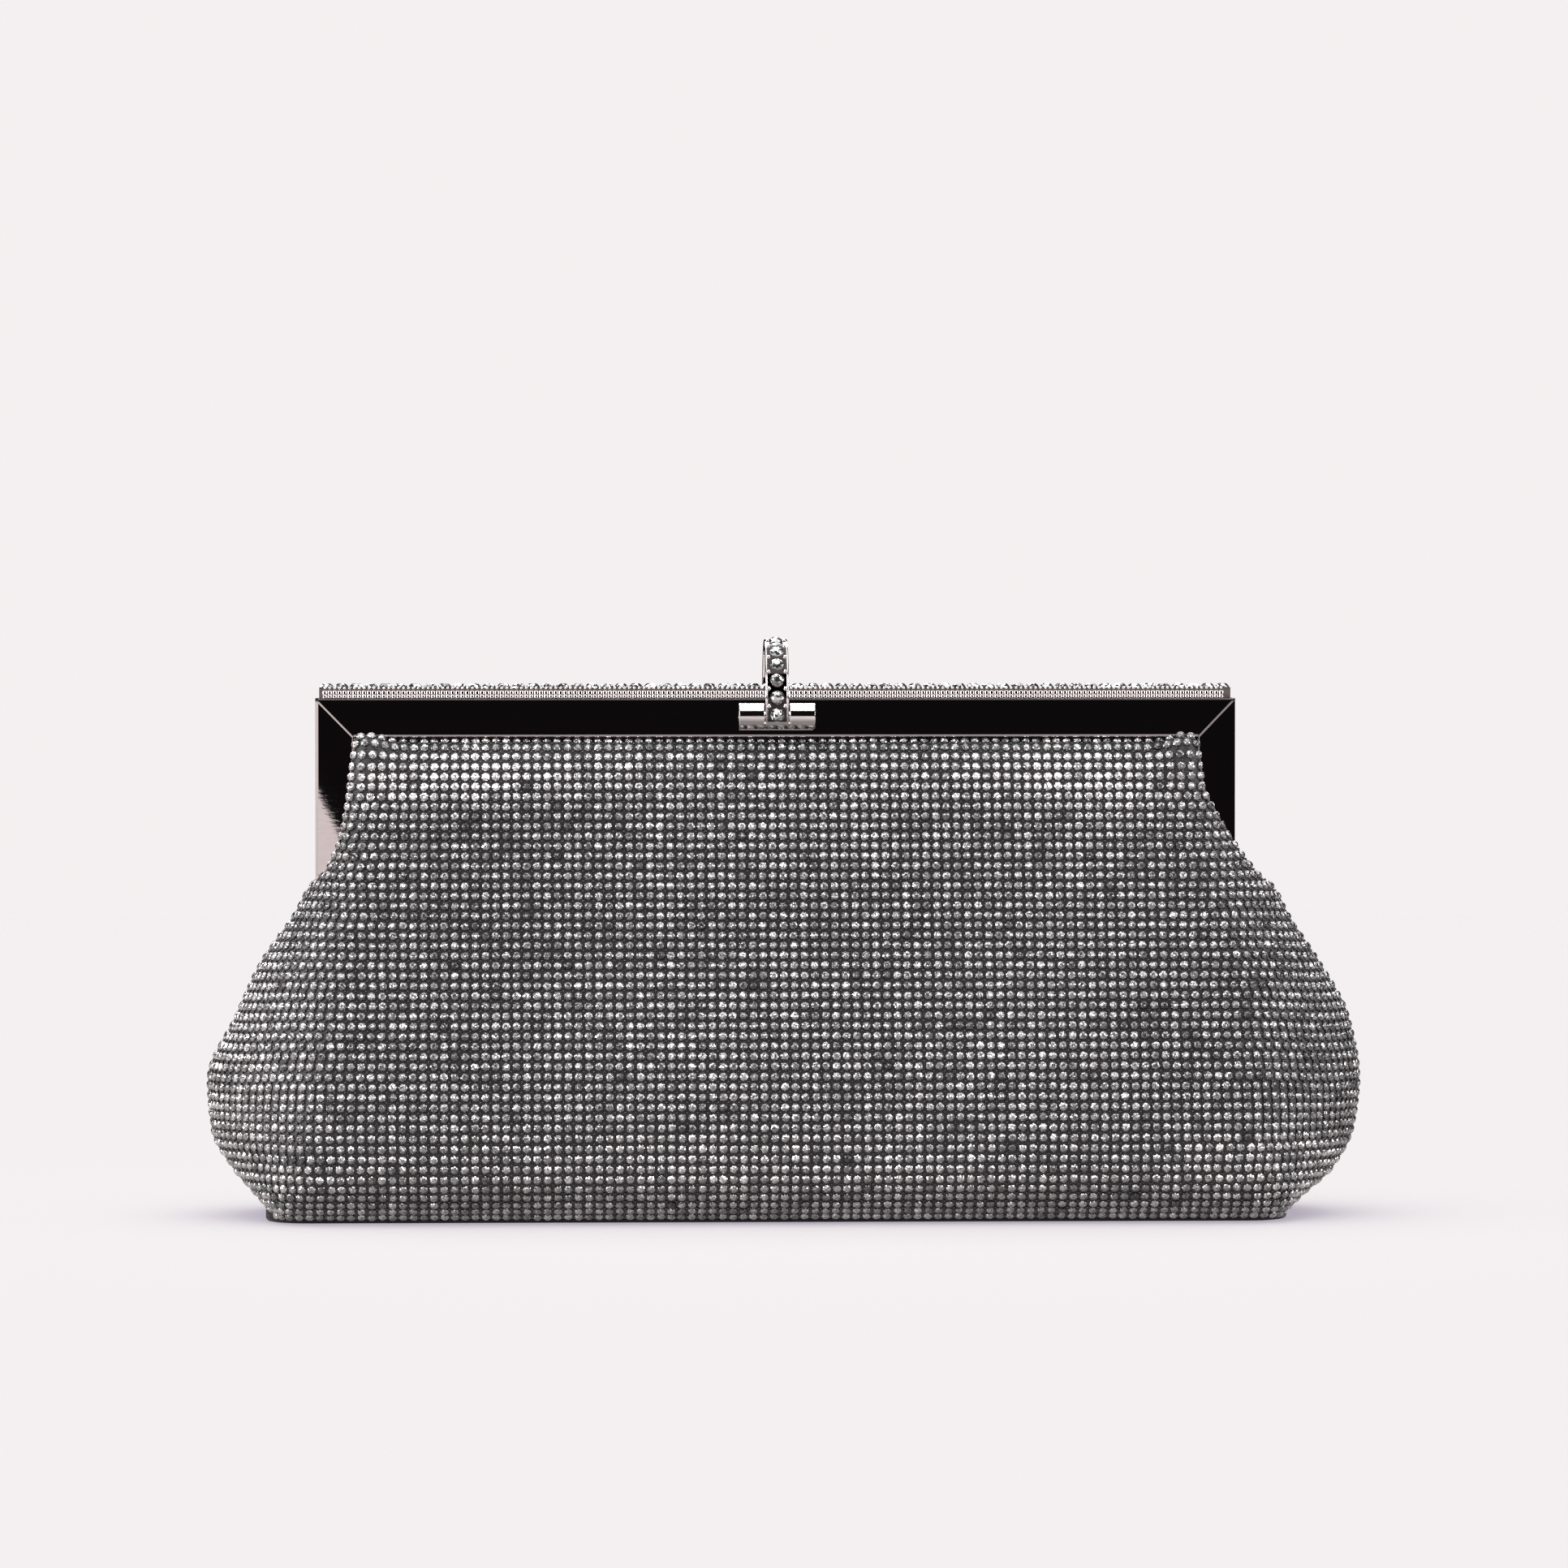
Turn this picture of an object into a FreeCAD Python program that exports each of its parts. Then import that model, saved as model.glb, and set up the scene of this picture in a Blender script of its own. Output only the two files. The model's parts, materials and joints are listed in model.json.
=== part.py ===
import FreeCAD, Part
import math
import os
import re
import Sketcher
from FreeCAD import Vector

# A frame evening bag: a soft pouch on a stiff base, two mitred metal frame halves that
# swing on a rivet at each end, a rail of round stones along the top and a hoop clasp.
# Millimetres. Origin at the middle of the base, on the surface it stands on. X runs
# along the bag, the front faces -Y, Z is up.

os.makedirs("parts", exist_ok=True)
doc = FreeCAD.newDocument("evening_bag")
sheet = doc.addObject("Spreadsheet::Sheet", "Sizes")

sizes = {
    # frame halves: a bent sheet with a ledge on top, a sloping face and a lip behind it
    "frame_length": 212.6,
    "frame_top": 119.6,
    "sheet_gauge": 0.9,
    "parting_gap": 0.4,
    "ledge_depth": 4.8,
    "ledge_edge_radius": 0.6,
    "face_width": 8.8,
    "face_rise": 3.4,
    "lip_depth": 2.6,
    "mating_wall": 7.1,
    "cord_radius": 1.1,
    "cord_setback": 3.5,
    "cord_end_gap": 3.0,
    "fabric_clearance": 0.3,
    # end rivets that both halves swing on
    "hinge_height": 74.0,
    "leg_above_hinge": 5.0,
    "tab_radius": 3.6,
    "joggle_height": 1.5,
    "rivet_radius": 1.2,
    "rivet_clearance": 0.05,
    "rivet_head_radius": 2.3,
    "rivet_head_height": 0.8,
    "washer_radius": 2.8,
    "washer_gauge": 0.4,
    "washer_clearance": 0.05,
    # pouch wall, from the stones inwards, and the stiff base
    "panel_gauge": 1.4,
    "interlining_gauge": 1.0,
    "lining_gauge": 0.5,
    "board_gauge": 1.9,
    "cover_gauge": 0.5,
    "sole_inset": 1.0,
    # split between the still lower wall and the upper wall that swings with the frame
    "notch_below_hinge": 4.0,
    "collar_above_hinge": 12.5,
    "slide_clearance": 0.8,
    "hem_above_hinge": 15.7,
    "lining_hem_lift": 1.4,
    "collar_side_gap": 1.3,
    "mouth_gap": 1.2,
    "mouth_corner": 3.0,
    "brow_share": 0.7668,
    "brow_bulge": 4.4,
    "chin_below_lip": 1.8,
    "chin_bulge": 2.2,
    "neck_below_lip": 0.4,
    "tuck_below_top": 4.6,
    "tuck_clearance": 0.21,
    # slip pocket on the back lining
    "pocket_half_width": 55.0,
    "pocket_low": 36.0,
    "pocket_high": 66.0,
    "pocket_gauge": 0.5,
    "pocket_hem_height": 5.0,
    # rail of stones on the front ledge
    "rail_end_margin": 0.9,
    "rail_half_width": 2.2,
    "rail_foot_width": 1.8,
    "rail_lift": 0.3,
    "rail_height": 2.5,
    "stone_radius": 1.5,
    "stone_pitch": 3.4,
    "stone_crown": 1.4,
    "stone_table_radius": 0.8,
    "seat_depth": 0.7,
    "seat_clearance": 0.05,
    # hoop clasp, its knuckles and its catch
    "clasp_drop": 4.0,
    "clasp_rise": 13.4,
    "clasp_width": 5.3,
    "clasp_gauge": 2.5,
    "clasp_clearance": 0.3,
    "barrel_radius": 3.0,
    "knuckle_length": 5.8,
    "saddle_half_height": 2.2,
    "pin_radius": 1.0,
    "pin_end_inset": 0.2,
    "clasp_stone_radius": 1.5,
    "clasp_stone_crown": 0.75,
    "clasp_stone_step": 18.0,
    "clasp_stone_drop": 4.0,
    "clasp_stone_count": 10,
    "hook_reach": 4.4,
    "hook_height": 1.5,
    "catch_half_width": 4.2,
    "catch_gauge": 0.6,
    "catch_start": 2.7,
    "catch_reach": 12.6,
    "catch_root_drop": 5.2,
    "catch_root_depth": 1.2,
    "catch_rivet_radius": 0.6,
    "catch_head_radius": 0.9,
    "catch_head_height": 0.3,
    "catch_rivet_spread": 2.8,
    "catch_rivet_inset": 1.2,
}

# Level rings of the pouch's outer surface: how far each end reaches past the frame's
# end, the half depth, the corner's radius and how far the end wall leans in to a point.
ring_sizes = {
    "base": {"flare": 12.2, "depth": 24.5, "corner": 12.0, "taper": 0.0},
    "heel": {"height": 5.5, "flare": 17.6, "depth": 29.2, "corner": 12.0, "taper": 2.0},
    "bulge": {"height": 11.0, "flare": 22.0, "depth": 32.0, "corner": 13.0, "taper": 4.0},
    "belly": {"height": 20.0, "flare": 26.0, "depth": 32.6, "corner": 14.0, "taper": 6.0},
    "waist": {"height": 33.0, "flare": 27.4, "depth": 30.4, "corner": 15.0, "taper": 7.0},
    "flank": {"height": 47.0, "flare": 23.6, "depth": 26.7, "corner": 15.0, "taper": 7.0},
    "rim": {"flare": 9.2, "depth": 20.2, "corner": 15.0, "taper": 7.0},
    "collar": {"flare": -5.0, "depth": 15.0, "corner": 12.0, "taper": 7.0},
}
for ring_name, values in ring_sizes.items():
    for key, number in values.items():
        sizes[f"{ring_name}_{key}"] = number

for row, (alias, number) in enumerate(sizes.items(), start=1):
    sheet.set(f"A{row}", alias)
    sheet.set(f"B{row}", str(number))
    sheet.setAlias(f"B{row}", alias)
doc.recompute()

# Places that several pieces share, as formulas of the sizes.
frame_end = "frame_length/2"
half_gap = "parting_gap/2"
ledge_front = f"({half_gap} + ledge_depth)"
lip_front = f"({ledge_front} + face_rise)"
lip_back = f"({lip_front} - lip_depth)"
leg_bottom = "(hinge_height + leg_above_hinge)"
base_top = "(cover_gauge + board_gauge)"
notch_height = "(hinge_height - notch_below_hinge)"
collar_height = "(hinge_height + collar_above_hinge)"
hem_height = "(hinge_height + hem_above_hinge)"
chin_height = "(frame_top - face_width - chin_below_lip)"
# The brow lies a share of the way from the hem up to the chin.
brow_height = f"({hem_height} + brow_share*({chin_height} - {hem_height}))"
mouth_half_length = f"({frame_end} - face_width - fabric_clearance)"
collar_half_length = f"({mouth_half_length} - panel_gauge - lining_gauge - collar_side_gap)"
wall_gauge = "(panel_gauge + interlining_gauge + lining_gauge)"
# The hem's inner edge swings just outside the collar's top edge.
swing_radius = "(sqrt(collar_depth^2 + collar_above_hinge^2) + slide_clearance)"
hem_depth = f"(sqrt({swing_radius}^2 - hem_above_hinge^2) + panel_gauge)"
rail_bottom = "(frame_top + rail_lift)"
rail_top = "(frame_top + rail_height)"
rail_half_length = f"({frame_end} - rail_end_margin)"
slope = "(face_rise/face_width)"
slant = f"sqrt(1 + {slope}^2)"
# The cloth's top edge lies just behind the sloping face.
tuck_depth = (
    f"({ledge_front} + {slope}*tuck_below_top - sheet_gauge*{slant} - tuck_clearance)"
)
clasp_height = "(frame_top - clasp_drop)"
clasp_depth = (
    f"((barrel_radius + clasp_clearance)*{slant} + {ledge_front} + {slope}*clasp_drop)"
)
hoop_radius = f"({clasp_depth} + barrel_radius)"
clasp_top = "(frame_top + clasp_rise)"
hoop_height = f"({clasp_top} - {hoop_radius})"
catch_top = "(frame_top + catch_gauge)"
hook_bottom = f"({catch_top} + catch_head_height + clasp_clearance)"
tongue_depth = f"({hoop_radius} - 2*clasp_clearance)"

ring_heights = {
    "base": base_top,
    "rim": notch_height,
    "collar": collar_height,
}
pouch_rings = []
for ring_name in ring_sizes:
    pouch_rings.append(
        {
            "height": ring_heights.get(ring_name, f"{ring_name}_height"),
            "half_length": f"({frame_end} + {ring_name}_flare)",
            "depth": f"{ring_name}_depth",
            "corner": f"{ring_name}_corner",
            "taper": f"{ring_name}_taper",
        }
    )

# The upper wall runs from its hem, over a soft brow, in behind the frame's lip.
mouth_levels = [
    (hem_height, hem_depth),
    (brow_height, f"({lip_back} + brow_bulge)"),
    (chin_height, f"({lip_back} + chin_bulge)"),
    ("(frame_top - face_width - neck_below_lip)", lip_back),
    ("(frame_top - tuck_below_top)", tuck_depth),
]
mouth_rings = []
for level, depth in mouth_levels:
    mouth_rings.append(
        {
            "height": level,
            "half_length": mouth_half_length,
            "depth": depth,
            "corner": "mouth_corner",
            "taper": "0",
        }
    )


def bound(formula):
    """The formula with each size read from the sheet."""
    return re.sub(r"[a-z]\w*_\w+", lambda match: "<<Sizes>>." + match.group(0), formula)


def value(formula):
    return float(sheet.evalExpression(bound(formula)))


def new_body(label):
    body = doc.addObject("PartDesign::Body", label)
    body.Label = label
    body.AllowCompound = True
    return body


def new_sketch(body, name, plane, away="0", up="0", along="0"):
    """A sketch on one of the body's origin planes, moved by formulas."""
    support = next(item for item in body.Origin.OriginFeatures if item.Role == plane)
    sketch = body.newObject("Sketcher::SketchObject", f"{body.Label}_{name}")
    sketch.AttachmentSupport = [(support, "")]
    sketch.MapMode = "FlatFace"
    sketch.setExpression("AttachmentOffset.Base.x", bound(along))
    sketch.setExpression("AttachmentOffset.Base.y", bound(up))
    sketch.setExpression("AttachmentOffset.Base.z", bound(away))
    return sketch


def fix_point(sketch, edge, end, across, up):
    for kind, formula in (("DistanceX", across), ("DistanceY", up)):
        index = sketch.addConstraint(
            Sketcher.Constraint(kind, -1, 1, edge, end, value(formula))
        )
        sketch.setExpression(f"Constraints[{index}]", bound(formula))


def add_outline(sketch, points, closed=True):
    """Straight edges through points given as formulas."""
    places = [Vector(value(across), value(up), 0) for across, up in points]
    count = len(points) if closed else len(points) - 1
    edges = []
    for index in range(count):
        line = Part.LineSegment(places[index], places[(index + 1) % len(places)])
        edges.append(sketch.addGeometry(line, False))
    for first, second in zip(edges, edges[1:]):
        sketch.addConstraint(Sketcher.Constraint("Coincident", first, 2, second, 1))
    if closed:
        sketch.addConstraint(Sketcher.Constraint("Coincident", edges[-1], 2, edges[0], 1))
    for index, (across, up) in enumerate(points):
        if index < count:
            fix_point(sketch, edges[index], 1, across, up)
        else:
            fix_point(sketch, edges[-1], 2, across, up)


def add_box(sketch, left, right, low, high):
    add_outline(sketch, [(left, low), (right, low), (right, high), (left, high)])


def add_circle(sketch, across, up, radius):
    centre = Vector(value(across), value(up), 0)
    edge = sketch.addGeometry(Part.Circle(centre, Vector(0, 0, 1), value(radius)), False)
    fix_point(sketch, edge, 3, across, up)
    index = sketch.addConstraint(Sketcher.Constraint("Radius", edge, value(radius)))
    sketch.setExpression(f"Constraints[{index}]", bound(radius))


def add_ring(sketch, half_length, depth, corner, taper="0"):
    """A long outline with rounded corners whose two ends come to a blunt point at y = 0."""
    across = f"({half_length} - {corner} - {taper})"
    up = f"({depth} - {corner})"
    radius = value(corner)
    tip = value(half_length)
    centre = Vector(value(across), value(up), 0)
    reach = math.hypot(tip - centre.x, centre.y)
    lean = math.acos(radius / reach) - math.atan2(centre.y, tip - centre.x)
    quarters = [
        (1, 1, lean, math.pi / 2),
        (-1, 1, math.pi / 2, math.pi - lean),
        (-1, -1, math.pi + lean, 3 * math.pi / 2),
        (1, -1, 3 * math.pi / 2, 2 * math.pi - lean),
    ]
    arcs = []
    for side, face, start, stop in quarters:
        middle = Vector(side * centre.x, face * centre.y, 0)
        circle = Part.Circle(middle, Vector(0, 0, 1), radius)
        arcs.append(sketch.addGeometry(Part.ArcOfCircle(circle, start, stop), False))
    corners = [sketch.Geometry[arc] for arc in arcs]
    ends = [
        (Vector(tip, 0, 0), corners[0].StartPoint),
        (corners[0].EndPoint, corners[1].StartPoint),
        (corners[1].EndPoint, Vector(-tip, 0, 0)),
        (Vector(-tip, 0, 0), corners[2].StartPoint),
        (corners[2].EndPoint, corners[3].StartPoint),
        (corners[3].EndPoint, Vector(tip, 0, 0)),
    ]
    lines = [sketch.addGeometry(Part.LineSegment(*pair), False) for pair in ends]
    joins = [
        (lines[0], 2, arcs[0], 1),
        (arcs[0], 2, lines[1], 1),
        (lines[1], 2, arcs[1], 1),
        (arcs[1], 2, lines[2], 1),
        (lines[3], 2, arcs[2], 1),
        (arcs[2], 2, lines[4], 1),
        (lines[4], 2, arcs[3], 1),
        (arcs[3], 2, lines[5], 1),
    ]
    for join in joins:
        sketch.addConstraint(Sketcher.Constraint("Tangent", *join))
    sketch.addConstraint(Sketcher.Constraint("Coincident", lines[2], 2, lines[3], 1))
    sketch.addConstraint(Sketcher.Constraint("Coincident", lines[5], 2, lines[0], 1))
    fix_point(sketch, lines[0], 1, half_length, "0")
    fix_point(sketch, lines[3], 1, f"-{half_length}", "0")
    for arc, (side, face, _, _) in zip(arcs, quarters):
        fix_point(sketch, arc, 3, f"{side}*{across}", f"{face}*{up}")
        index = sketch.addConstraint(Sketcher.Constraint("Radius", arc, radius))
        sketch.setExpression(f"Constraints[{index}]", bound(corner))


def pad(body, sketch, length, midplane=False):
    feature = body.newObject("PartDesign::Pad", f"{sketch.Name}_pad")
    feature.Profile = sketch
    feature.setExpression("Length", bound(length))
    feature.Midplane = midplane
    doc.recompute()
    return feature


def checked_cut(body, feature):
    """A cut that removes nothing is an error."""
    before = feature.BaseFeature.Shape.Volume
    doc.recompute()
    if feature.Shape.Volume > before - 1e-6:
        raise RuntimeError(f"{feature.Name} cuts nothing")
    return feature


def pocket(body, sketch, length=None, reversed_cut=False, midplane=False):
    feature = body.newObject("PartDesign::Pocket", f"{sketch.Name}_cut")
    feature.Profile = sketch
    if length is None:
        feature.Type = "ThroughAll"
    else:
        feature.setExpression("Length", bound(length))
    feature.Reversed = reversed_cut
    feature.Midplane = midplane
    return checked_cut(body, feature)


def loft(body, kind, name, sketches):
    feature = body.newObject(f"PartDesign::{kind}", f"{body.Label}_{name}")
    feature.Profile = sketches[0]
    feature.Sections = sketches[1:]
    feature.Ruled = True
    doc.recompute()
    return feature


def ring_shell(label, rings, inset, gauge):
    """A wall that lies `inset` inside the rings and is `gauge` thick."""
    body = new_body(label)
    for kind, name, depth in (
        ("AdditiveLoft", "outside", inset),
        ("SubtractiveLoft", "inside", f"({inset} + {gauge})"),
    ):
        sketches = []
        for index, ring in enumerate(rings):
            sketch = new_sketch(body, f"{name}_{index}", "XY_Plane", ring["height"])
            add_ring(
                sketch,
                f"({ring['half_length']} - {depth})",
                f"({ring['depth']} - {depth})",
                f"({ring['corner']} - {depth})",
                ring["taper"],
            )
            sketches.append(sketch)
        loft(body, kind, name, sketches)
    return body


def keep_side(body, face, gap="0"):
    """Keep the part in front of (face -1) or behind (face +1) the middle plane."""
    sketch = new_sketch(body, "middle", "XZ_Plane", f"{-face}*{gap}")
    add_box(sketch, "-frame_length", "frame_length", "-frame_top", "2*frame_top")
    pocket(body, sketch, reversed_cut=face > 0)


def cut_notches(body):
    """Room at both ends of the rim for the frame's legs to swing."""
    sketch = new_sketch(body, "notches", "XZ_Plane")
    for side in (-1, 1):
        ends = [f"{side}*{collar_half_length}", f"{side}*frame_length"]
        ends.sort(key=value)
        add_box(sketch, ends[0], ends[1], notch_height, "2*frame_top")
    pocket(body, sketch, midplane=True)


def trim_to_patch(body, half_width, low, high):
    sketch = new_sketch(body, "patch", "XZ_Plane")
    add_box(sketch, "-frame_length", "frame_length", "-frame_top", "2*frame_top")
    add_box(sketch, f"-{half_width}", half_width, low, high)
    pocket(body, sketch, midplane=True)


def pouch_wall(label, face, inset, gauge):
    body = ring_shell(label, pouch_rings, inset, gauge)
    keep_side(body, face)
    cut_notches(body)


def mouth_wall(label, face, inset, gauge, lift=None):
    """An upper wall with short returns at its ends, inside the frame's opening."""
    body = ring_shell(label, mouth_rings, inset, gauge)
    keep_side(body, face, "mouth_gap")
    if lift is not None:
        hem = new_sketch(body, "hem", "XZ_Plane")
        add_box(hem, "-frame_length", "frame_length", "0", f"{hem_height} + {lift}")
        pocket(body, hem, midplane=True)


def channel_path(body, bottom):
    path = new_sketch(body, "path", "XZ_Plane")
    points = [
        (f"-{frame_end}", bottom),
        (f"-{frame_end}", "frame_top"),
        (frame_end, "frame_top"),
        (frame_end, bottom),
    ]
    add_outline(path, points, closed=False)
    return path


def sweep(body, profile, path):
    feature = body.newObject("PartDesign::AdditivePipe", f"{body.Label}_sweep")
    feature.Profile = profile
    feature.Spine = (path, ["Edge1", "Edge2", "Edge3"])
    feature.Transition = "Right corner"
    doc.recompute()
    return feature


def frame_half(label, face, tab_start):
    """A bent sheet swept up one leg, along the top and down the other, mitred."""
    body = new_body(label)
    path = channel_path(body, leg_bottom)
    profile = new_sketch(body, "section", "XY_Plane", leg_bottom)
    outer = f"-{frame_end}"
    inner_fall = f"sheet_gauge*{slant}"
    section = [
        (outer, half_gap),
        (outer, ledge_front),
        (f"{outer} + face_width", lip_front),
        (f"{outer} + face_width", lip_back),
        (f"{outer} + face_width - sheet_gauge", lip_back),
        (
            f"{outer} + face_width - sheet_gauge",
            f"{ledge_front} + {slope}*(face_width - sheet_gauge) - {inner_fall}",
        ),
        (f"{outer} + sheet_gauge", f"{ledge_front} + {slope}*sheet_gauge - {inner_fall}"),
        (f"{outer} + sheet_gauge", f"{half_gap} + sheet_gauge"),
        (f"{outer} + mating_wall", f"{half_gap} + sheet_gauge"),
        (f"{outer} + mating_wall", half_gap),
    ]
    add_outline(profile, [(across, f"{face}*({depth})") for across, depth in section])
    sweep(body, profile, path)
    round_ledge(body, face)
    for side in (-1, 1):
        add_tab(body, face, side, tab_start)
    return body


def round_ledge(body, face):
    """Round the long edge between the ledge and the sloping face."""
    edges = []
    depth = face * value(ledge_front)
    for index, edge in enumerate(body.Tip.Shape.Edges, start=1):
        box = edge.BoundBox
        if abs(box.YMin - depth) < 1e-4 and abs(box.YMax - depth) < 1e-4:
            outer = value(frame_end)
            on_top = abs(box.ZMin - value("frame_top")) < 1e-4
            on_end = abs(abs(box.XMin) - outer) < 1e-4 and box.XLength < 1e-4
            if on_top or on_end:
                edges.append(f"Edge{index}")
    fillet = body.newObject("PartDesign::Fillet", f"{body.Label}_ledge_edge")
    fillet.Base = (fillet.BaseFeature, edges)
    fillet.setExpression("Radius", bound("ledge_edge_radius"))
    doc.recompute()


def add_tab(body, face, side, tab_start):
    """A round hinge tab below the leg, set in from the end by tab_start."""
    outer = f"({frame_end} - {tab_start})"
    place = f"-{outer}" if side < 0 else f"({outer} - sheet_gauge)"
    name = "left" if side < 0 else "right"
    depths = [f"{face}*{half_gap}", f"{face}*tab_radius"]
    depths.sort(key=value)
    stem = new_sketch(body, f"stem_{name}", "YZ_Plane", place)
    add_box(stem, depths[0], depths[1], "hinge_height", f"{leg_bottom} + joggle_height")
    pad(body, stem, "sheet_gauge")
    eye = new_sketch(body, f"eye_{name}", "YZ_Plane", place)
    add_circle(eye, "0", "hinge_height", "tab_radius")
    pad(body, eye, "sheet_gauge")
    if value(tab_start) > 0:
        step_place = f"-{frame_end}" if side < 0 else f"({outer} - sheet_gauge)"
        step = new_sketch(body, f"step_{name}", "YZ_Plane", step_place)
        add_box(step, depths[0], depths[1], leg_bottom, f"{leg_bottom} + joggle_height")
        pad(body, step, f"({tab_start} + sheet_gauge)")
    hole = new_sketch(body, f"rivet_hole_{name}", "YZ_Plane", place)
    add_circle(hole, "0", "hinge_height", "rivet_radius + rivet_clearance")
    pocket(body, hole, "sheet_gauge", reversed_cut=True)


def channel_cord(label, face):
    """The cord that is pushed into the frame's channel to hold the fabric."""
    body = new_body(label)
    path = channel_path(body, f"({leg_bottom} + cord_end_gap)")
    profile = new_sketch(body, "section", "XY_Plane", f"({leg_bottom} + cord_end_gap)")
    depth = f"({half_gap} + sheet_gauge + cord_radius + 2*seat_clearance)"
    add_circle(profile, f"-{frame_end} + cord_setback", f"{face}*{depth}", "cord_radius")
    sweep(body, profile, path)


def base_pieces():
    base_half = f"({frame_end} + base_flare - sole_inset)"
    base_depth = "(base_depth - sole_inset)"
    base_corner = "(base_corner - sole_inset)"
    cover = new_body("base_cover")
    outside = new_sketch(cover, "outside", "XY_Plane")
    add_ring(outside, base_half, base_depth, base_corner)
    pad(cover, outside, base_top)
    inside = new_sketch(cover, "inside", "XY_Plane", base_top)
    hollow = [f"({size} - cover_gauge)" for size in (base_half, base_depth, base_corner)]
    add_ring(inside, *hollow)
    pocket(cover, inside, "board_gauge")
    board = new_body("base_board")
    plan = new_sketch(board, "plan", "XY_Plane", "cover_gauge")
    add_ring(plan, *hollow)
    pad(board, plan, "board_gauge")
    lining = new_body("base_lining")
    floor = new_sketch(lining, "plan", "XY_Plane", base_top)
    add_ring(
        floor,
        f"({frame_end} + base_flare - {wall_gauge})",
        f"(base_depth - {wall_gauge})",
        f"(base_corner - {wall_gauge})",
    )
    pad(lining, floor, "lining_gauge")


def slip_pocket():
    patch = ring_shell("slip_pocket", pouch_rings, wall_gauge, "pocket_gauge")
    keep_side(patch, 1)
    trim_to_patch(patch, "pocket_half_width", "pocket_low", "pocket_high")
    hem = ring_shell(
        "pocket_hem", pouch_rings, f"({wall_gauge} + pocket_gauge)", "pocket_gauge"
    )
    keep_side(hem, 1)
    hem_low = "(pocket_high - pocket_hem_height)"
    trim_to_patch(hem, "pocket_half_width", hem_low, "pocket_high")


def hinge_hardware(name, side):
    """A rivet through both tabs, with a washer between them."""
    outer = frame_end
    inner = f"({frame_end} - 2*sheet_gauge - washer_gauge - 2*washer_clearance)"
    head = "rivet_head_height"
    gap = "washer_clearance"
    rivet = new_body(f"hinge_rivet_{name}")
    section = new_sketch(rivet, "section", "XZ_Plane", up="hinge_height")
    points = [
        (f"{outer} + {gap} + {head}", "0"),
        (f"{outer} + {gap} + {head}", "rivet_head_radius"),
        (f"{outer} + {gap}", "rivet_head_radius"),
        (f"{outer} + {gap}", "rivet_radius"),
        (f"{inner} - {gap}", "rivet_radius"),
        (f"{inner} - {gap}", "rivet_head_radius"),
        (f"{inner} - {gap} - {head}", "rivet_head_radius"),
        (f"{inner} - {gap} - {head}", "0"),
    ]
    add_outline(section, [(f"{side}*({across})", up) for across, up in points])
    turn(rivet, section, "H_Axis")
    washer = new_body(f"hinge_washer_{name}")
    start = f"({frame_end} - sheet_gauge - washer_clearance - washer_gauge)"
    place = start if side > 0 else f"-({start} + washer_gauge)"
    plan = new_sketch(washer, "plan", "YZ_Plane", place)
    add_circle(plan, "0", "hinge_height", "washer_radius")
    add_circle(plan, "0", "hinge_height", "rivet_radius + rivet_clearance")
    pad(washer, plan, "washer_gauge")


def turn(body, sketch, axis, kind="Revolution"):
    feature = body.newObject(f"PartDesign::{kind}", f"{sketch.Name}_turned")
    feature.Profile = sketch
    feature.ReferenceAxis = (sketch, [axis])
    feature.Angle = 360
    if kind == "Groove":
        return checked_cut(body, feature)
    doc.recompute()
    return feature


def rail_pattern(body, feature, sketch):
    """Repeat a feature at every stone of the rail."""
    pattern = body.newObject("PartDesign::LinearPattern", f"{body.Label}_along_rail")
    pattern.Originals = [feature]
    pattern.Direction = (sketch, ["H_Axis"])
    pattern.setExpression("Occurrences", bound(rail_count))
    pattern.setExpression("Length", bound(f"({rail_count} - 1)*stone_pitch"))
    body.Tip = pattern
    doc.recompute()


def rail_pieces():
    rail = new_body("stone_rail")
    section = new_sketch(rail, "section", "YZ_Plane")
    foot = "(rail_foot_width - rail_half_width)"
    points = [
        ("-rail_half_width", "frame_top"),
        (foot, "frame_top"),
        (foot, rail_bottom),
        ("rail_half_width", rail_bottom),
        ("rail_half_width", rail_top),
        ("-rail_half_width", rail_top),
    ]
    add_outline(section, points)
    pad(rail, section, f"2*{rail_half_length}", midplane=True)
    seat = new_sketch(rail, "seat", "XY_Plane", rail_top, along=first_stone)
    add_circle(seat, "0", "0", "stone_radius + seat_clearance")
    hole = pocket(rail, seat, "seat_depth")
    rail_pattern(rail, hole, seat)
    stones = new_body("rail_stones")
    profile = new_sketch(stones, "profile", "XZ_Plane", up=rail_top, along=first_stone)
    add_outline(profile, stone_profile("stone_radius", "stone_crown"))
    stone = turn(stones, profile, "V_Axis")
    rail_pattern(stones, stone, profile)


def stone_profile(radius, crown):
    """Half a round stone: straight in its seat, then a sloping crown and a flat table."""
    return [
        ("0", "-seat_depth"),
        (radius, "-seat_depth"),
        (radius, f"0.3*{crown}"),
        ("stone_table_radius", crown),
        ("0", crown),
    ]


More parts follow.
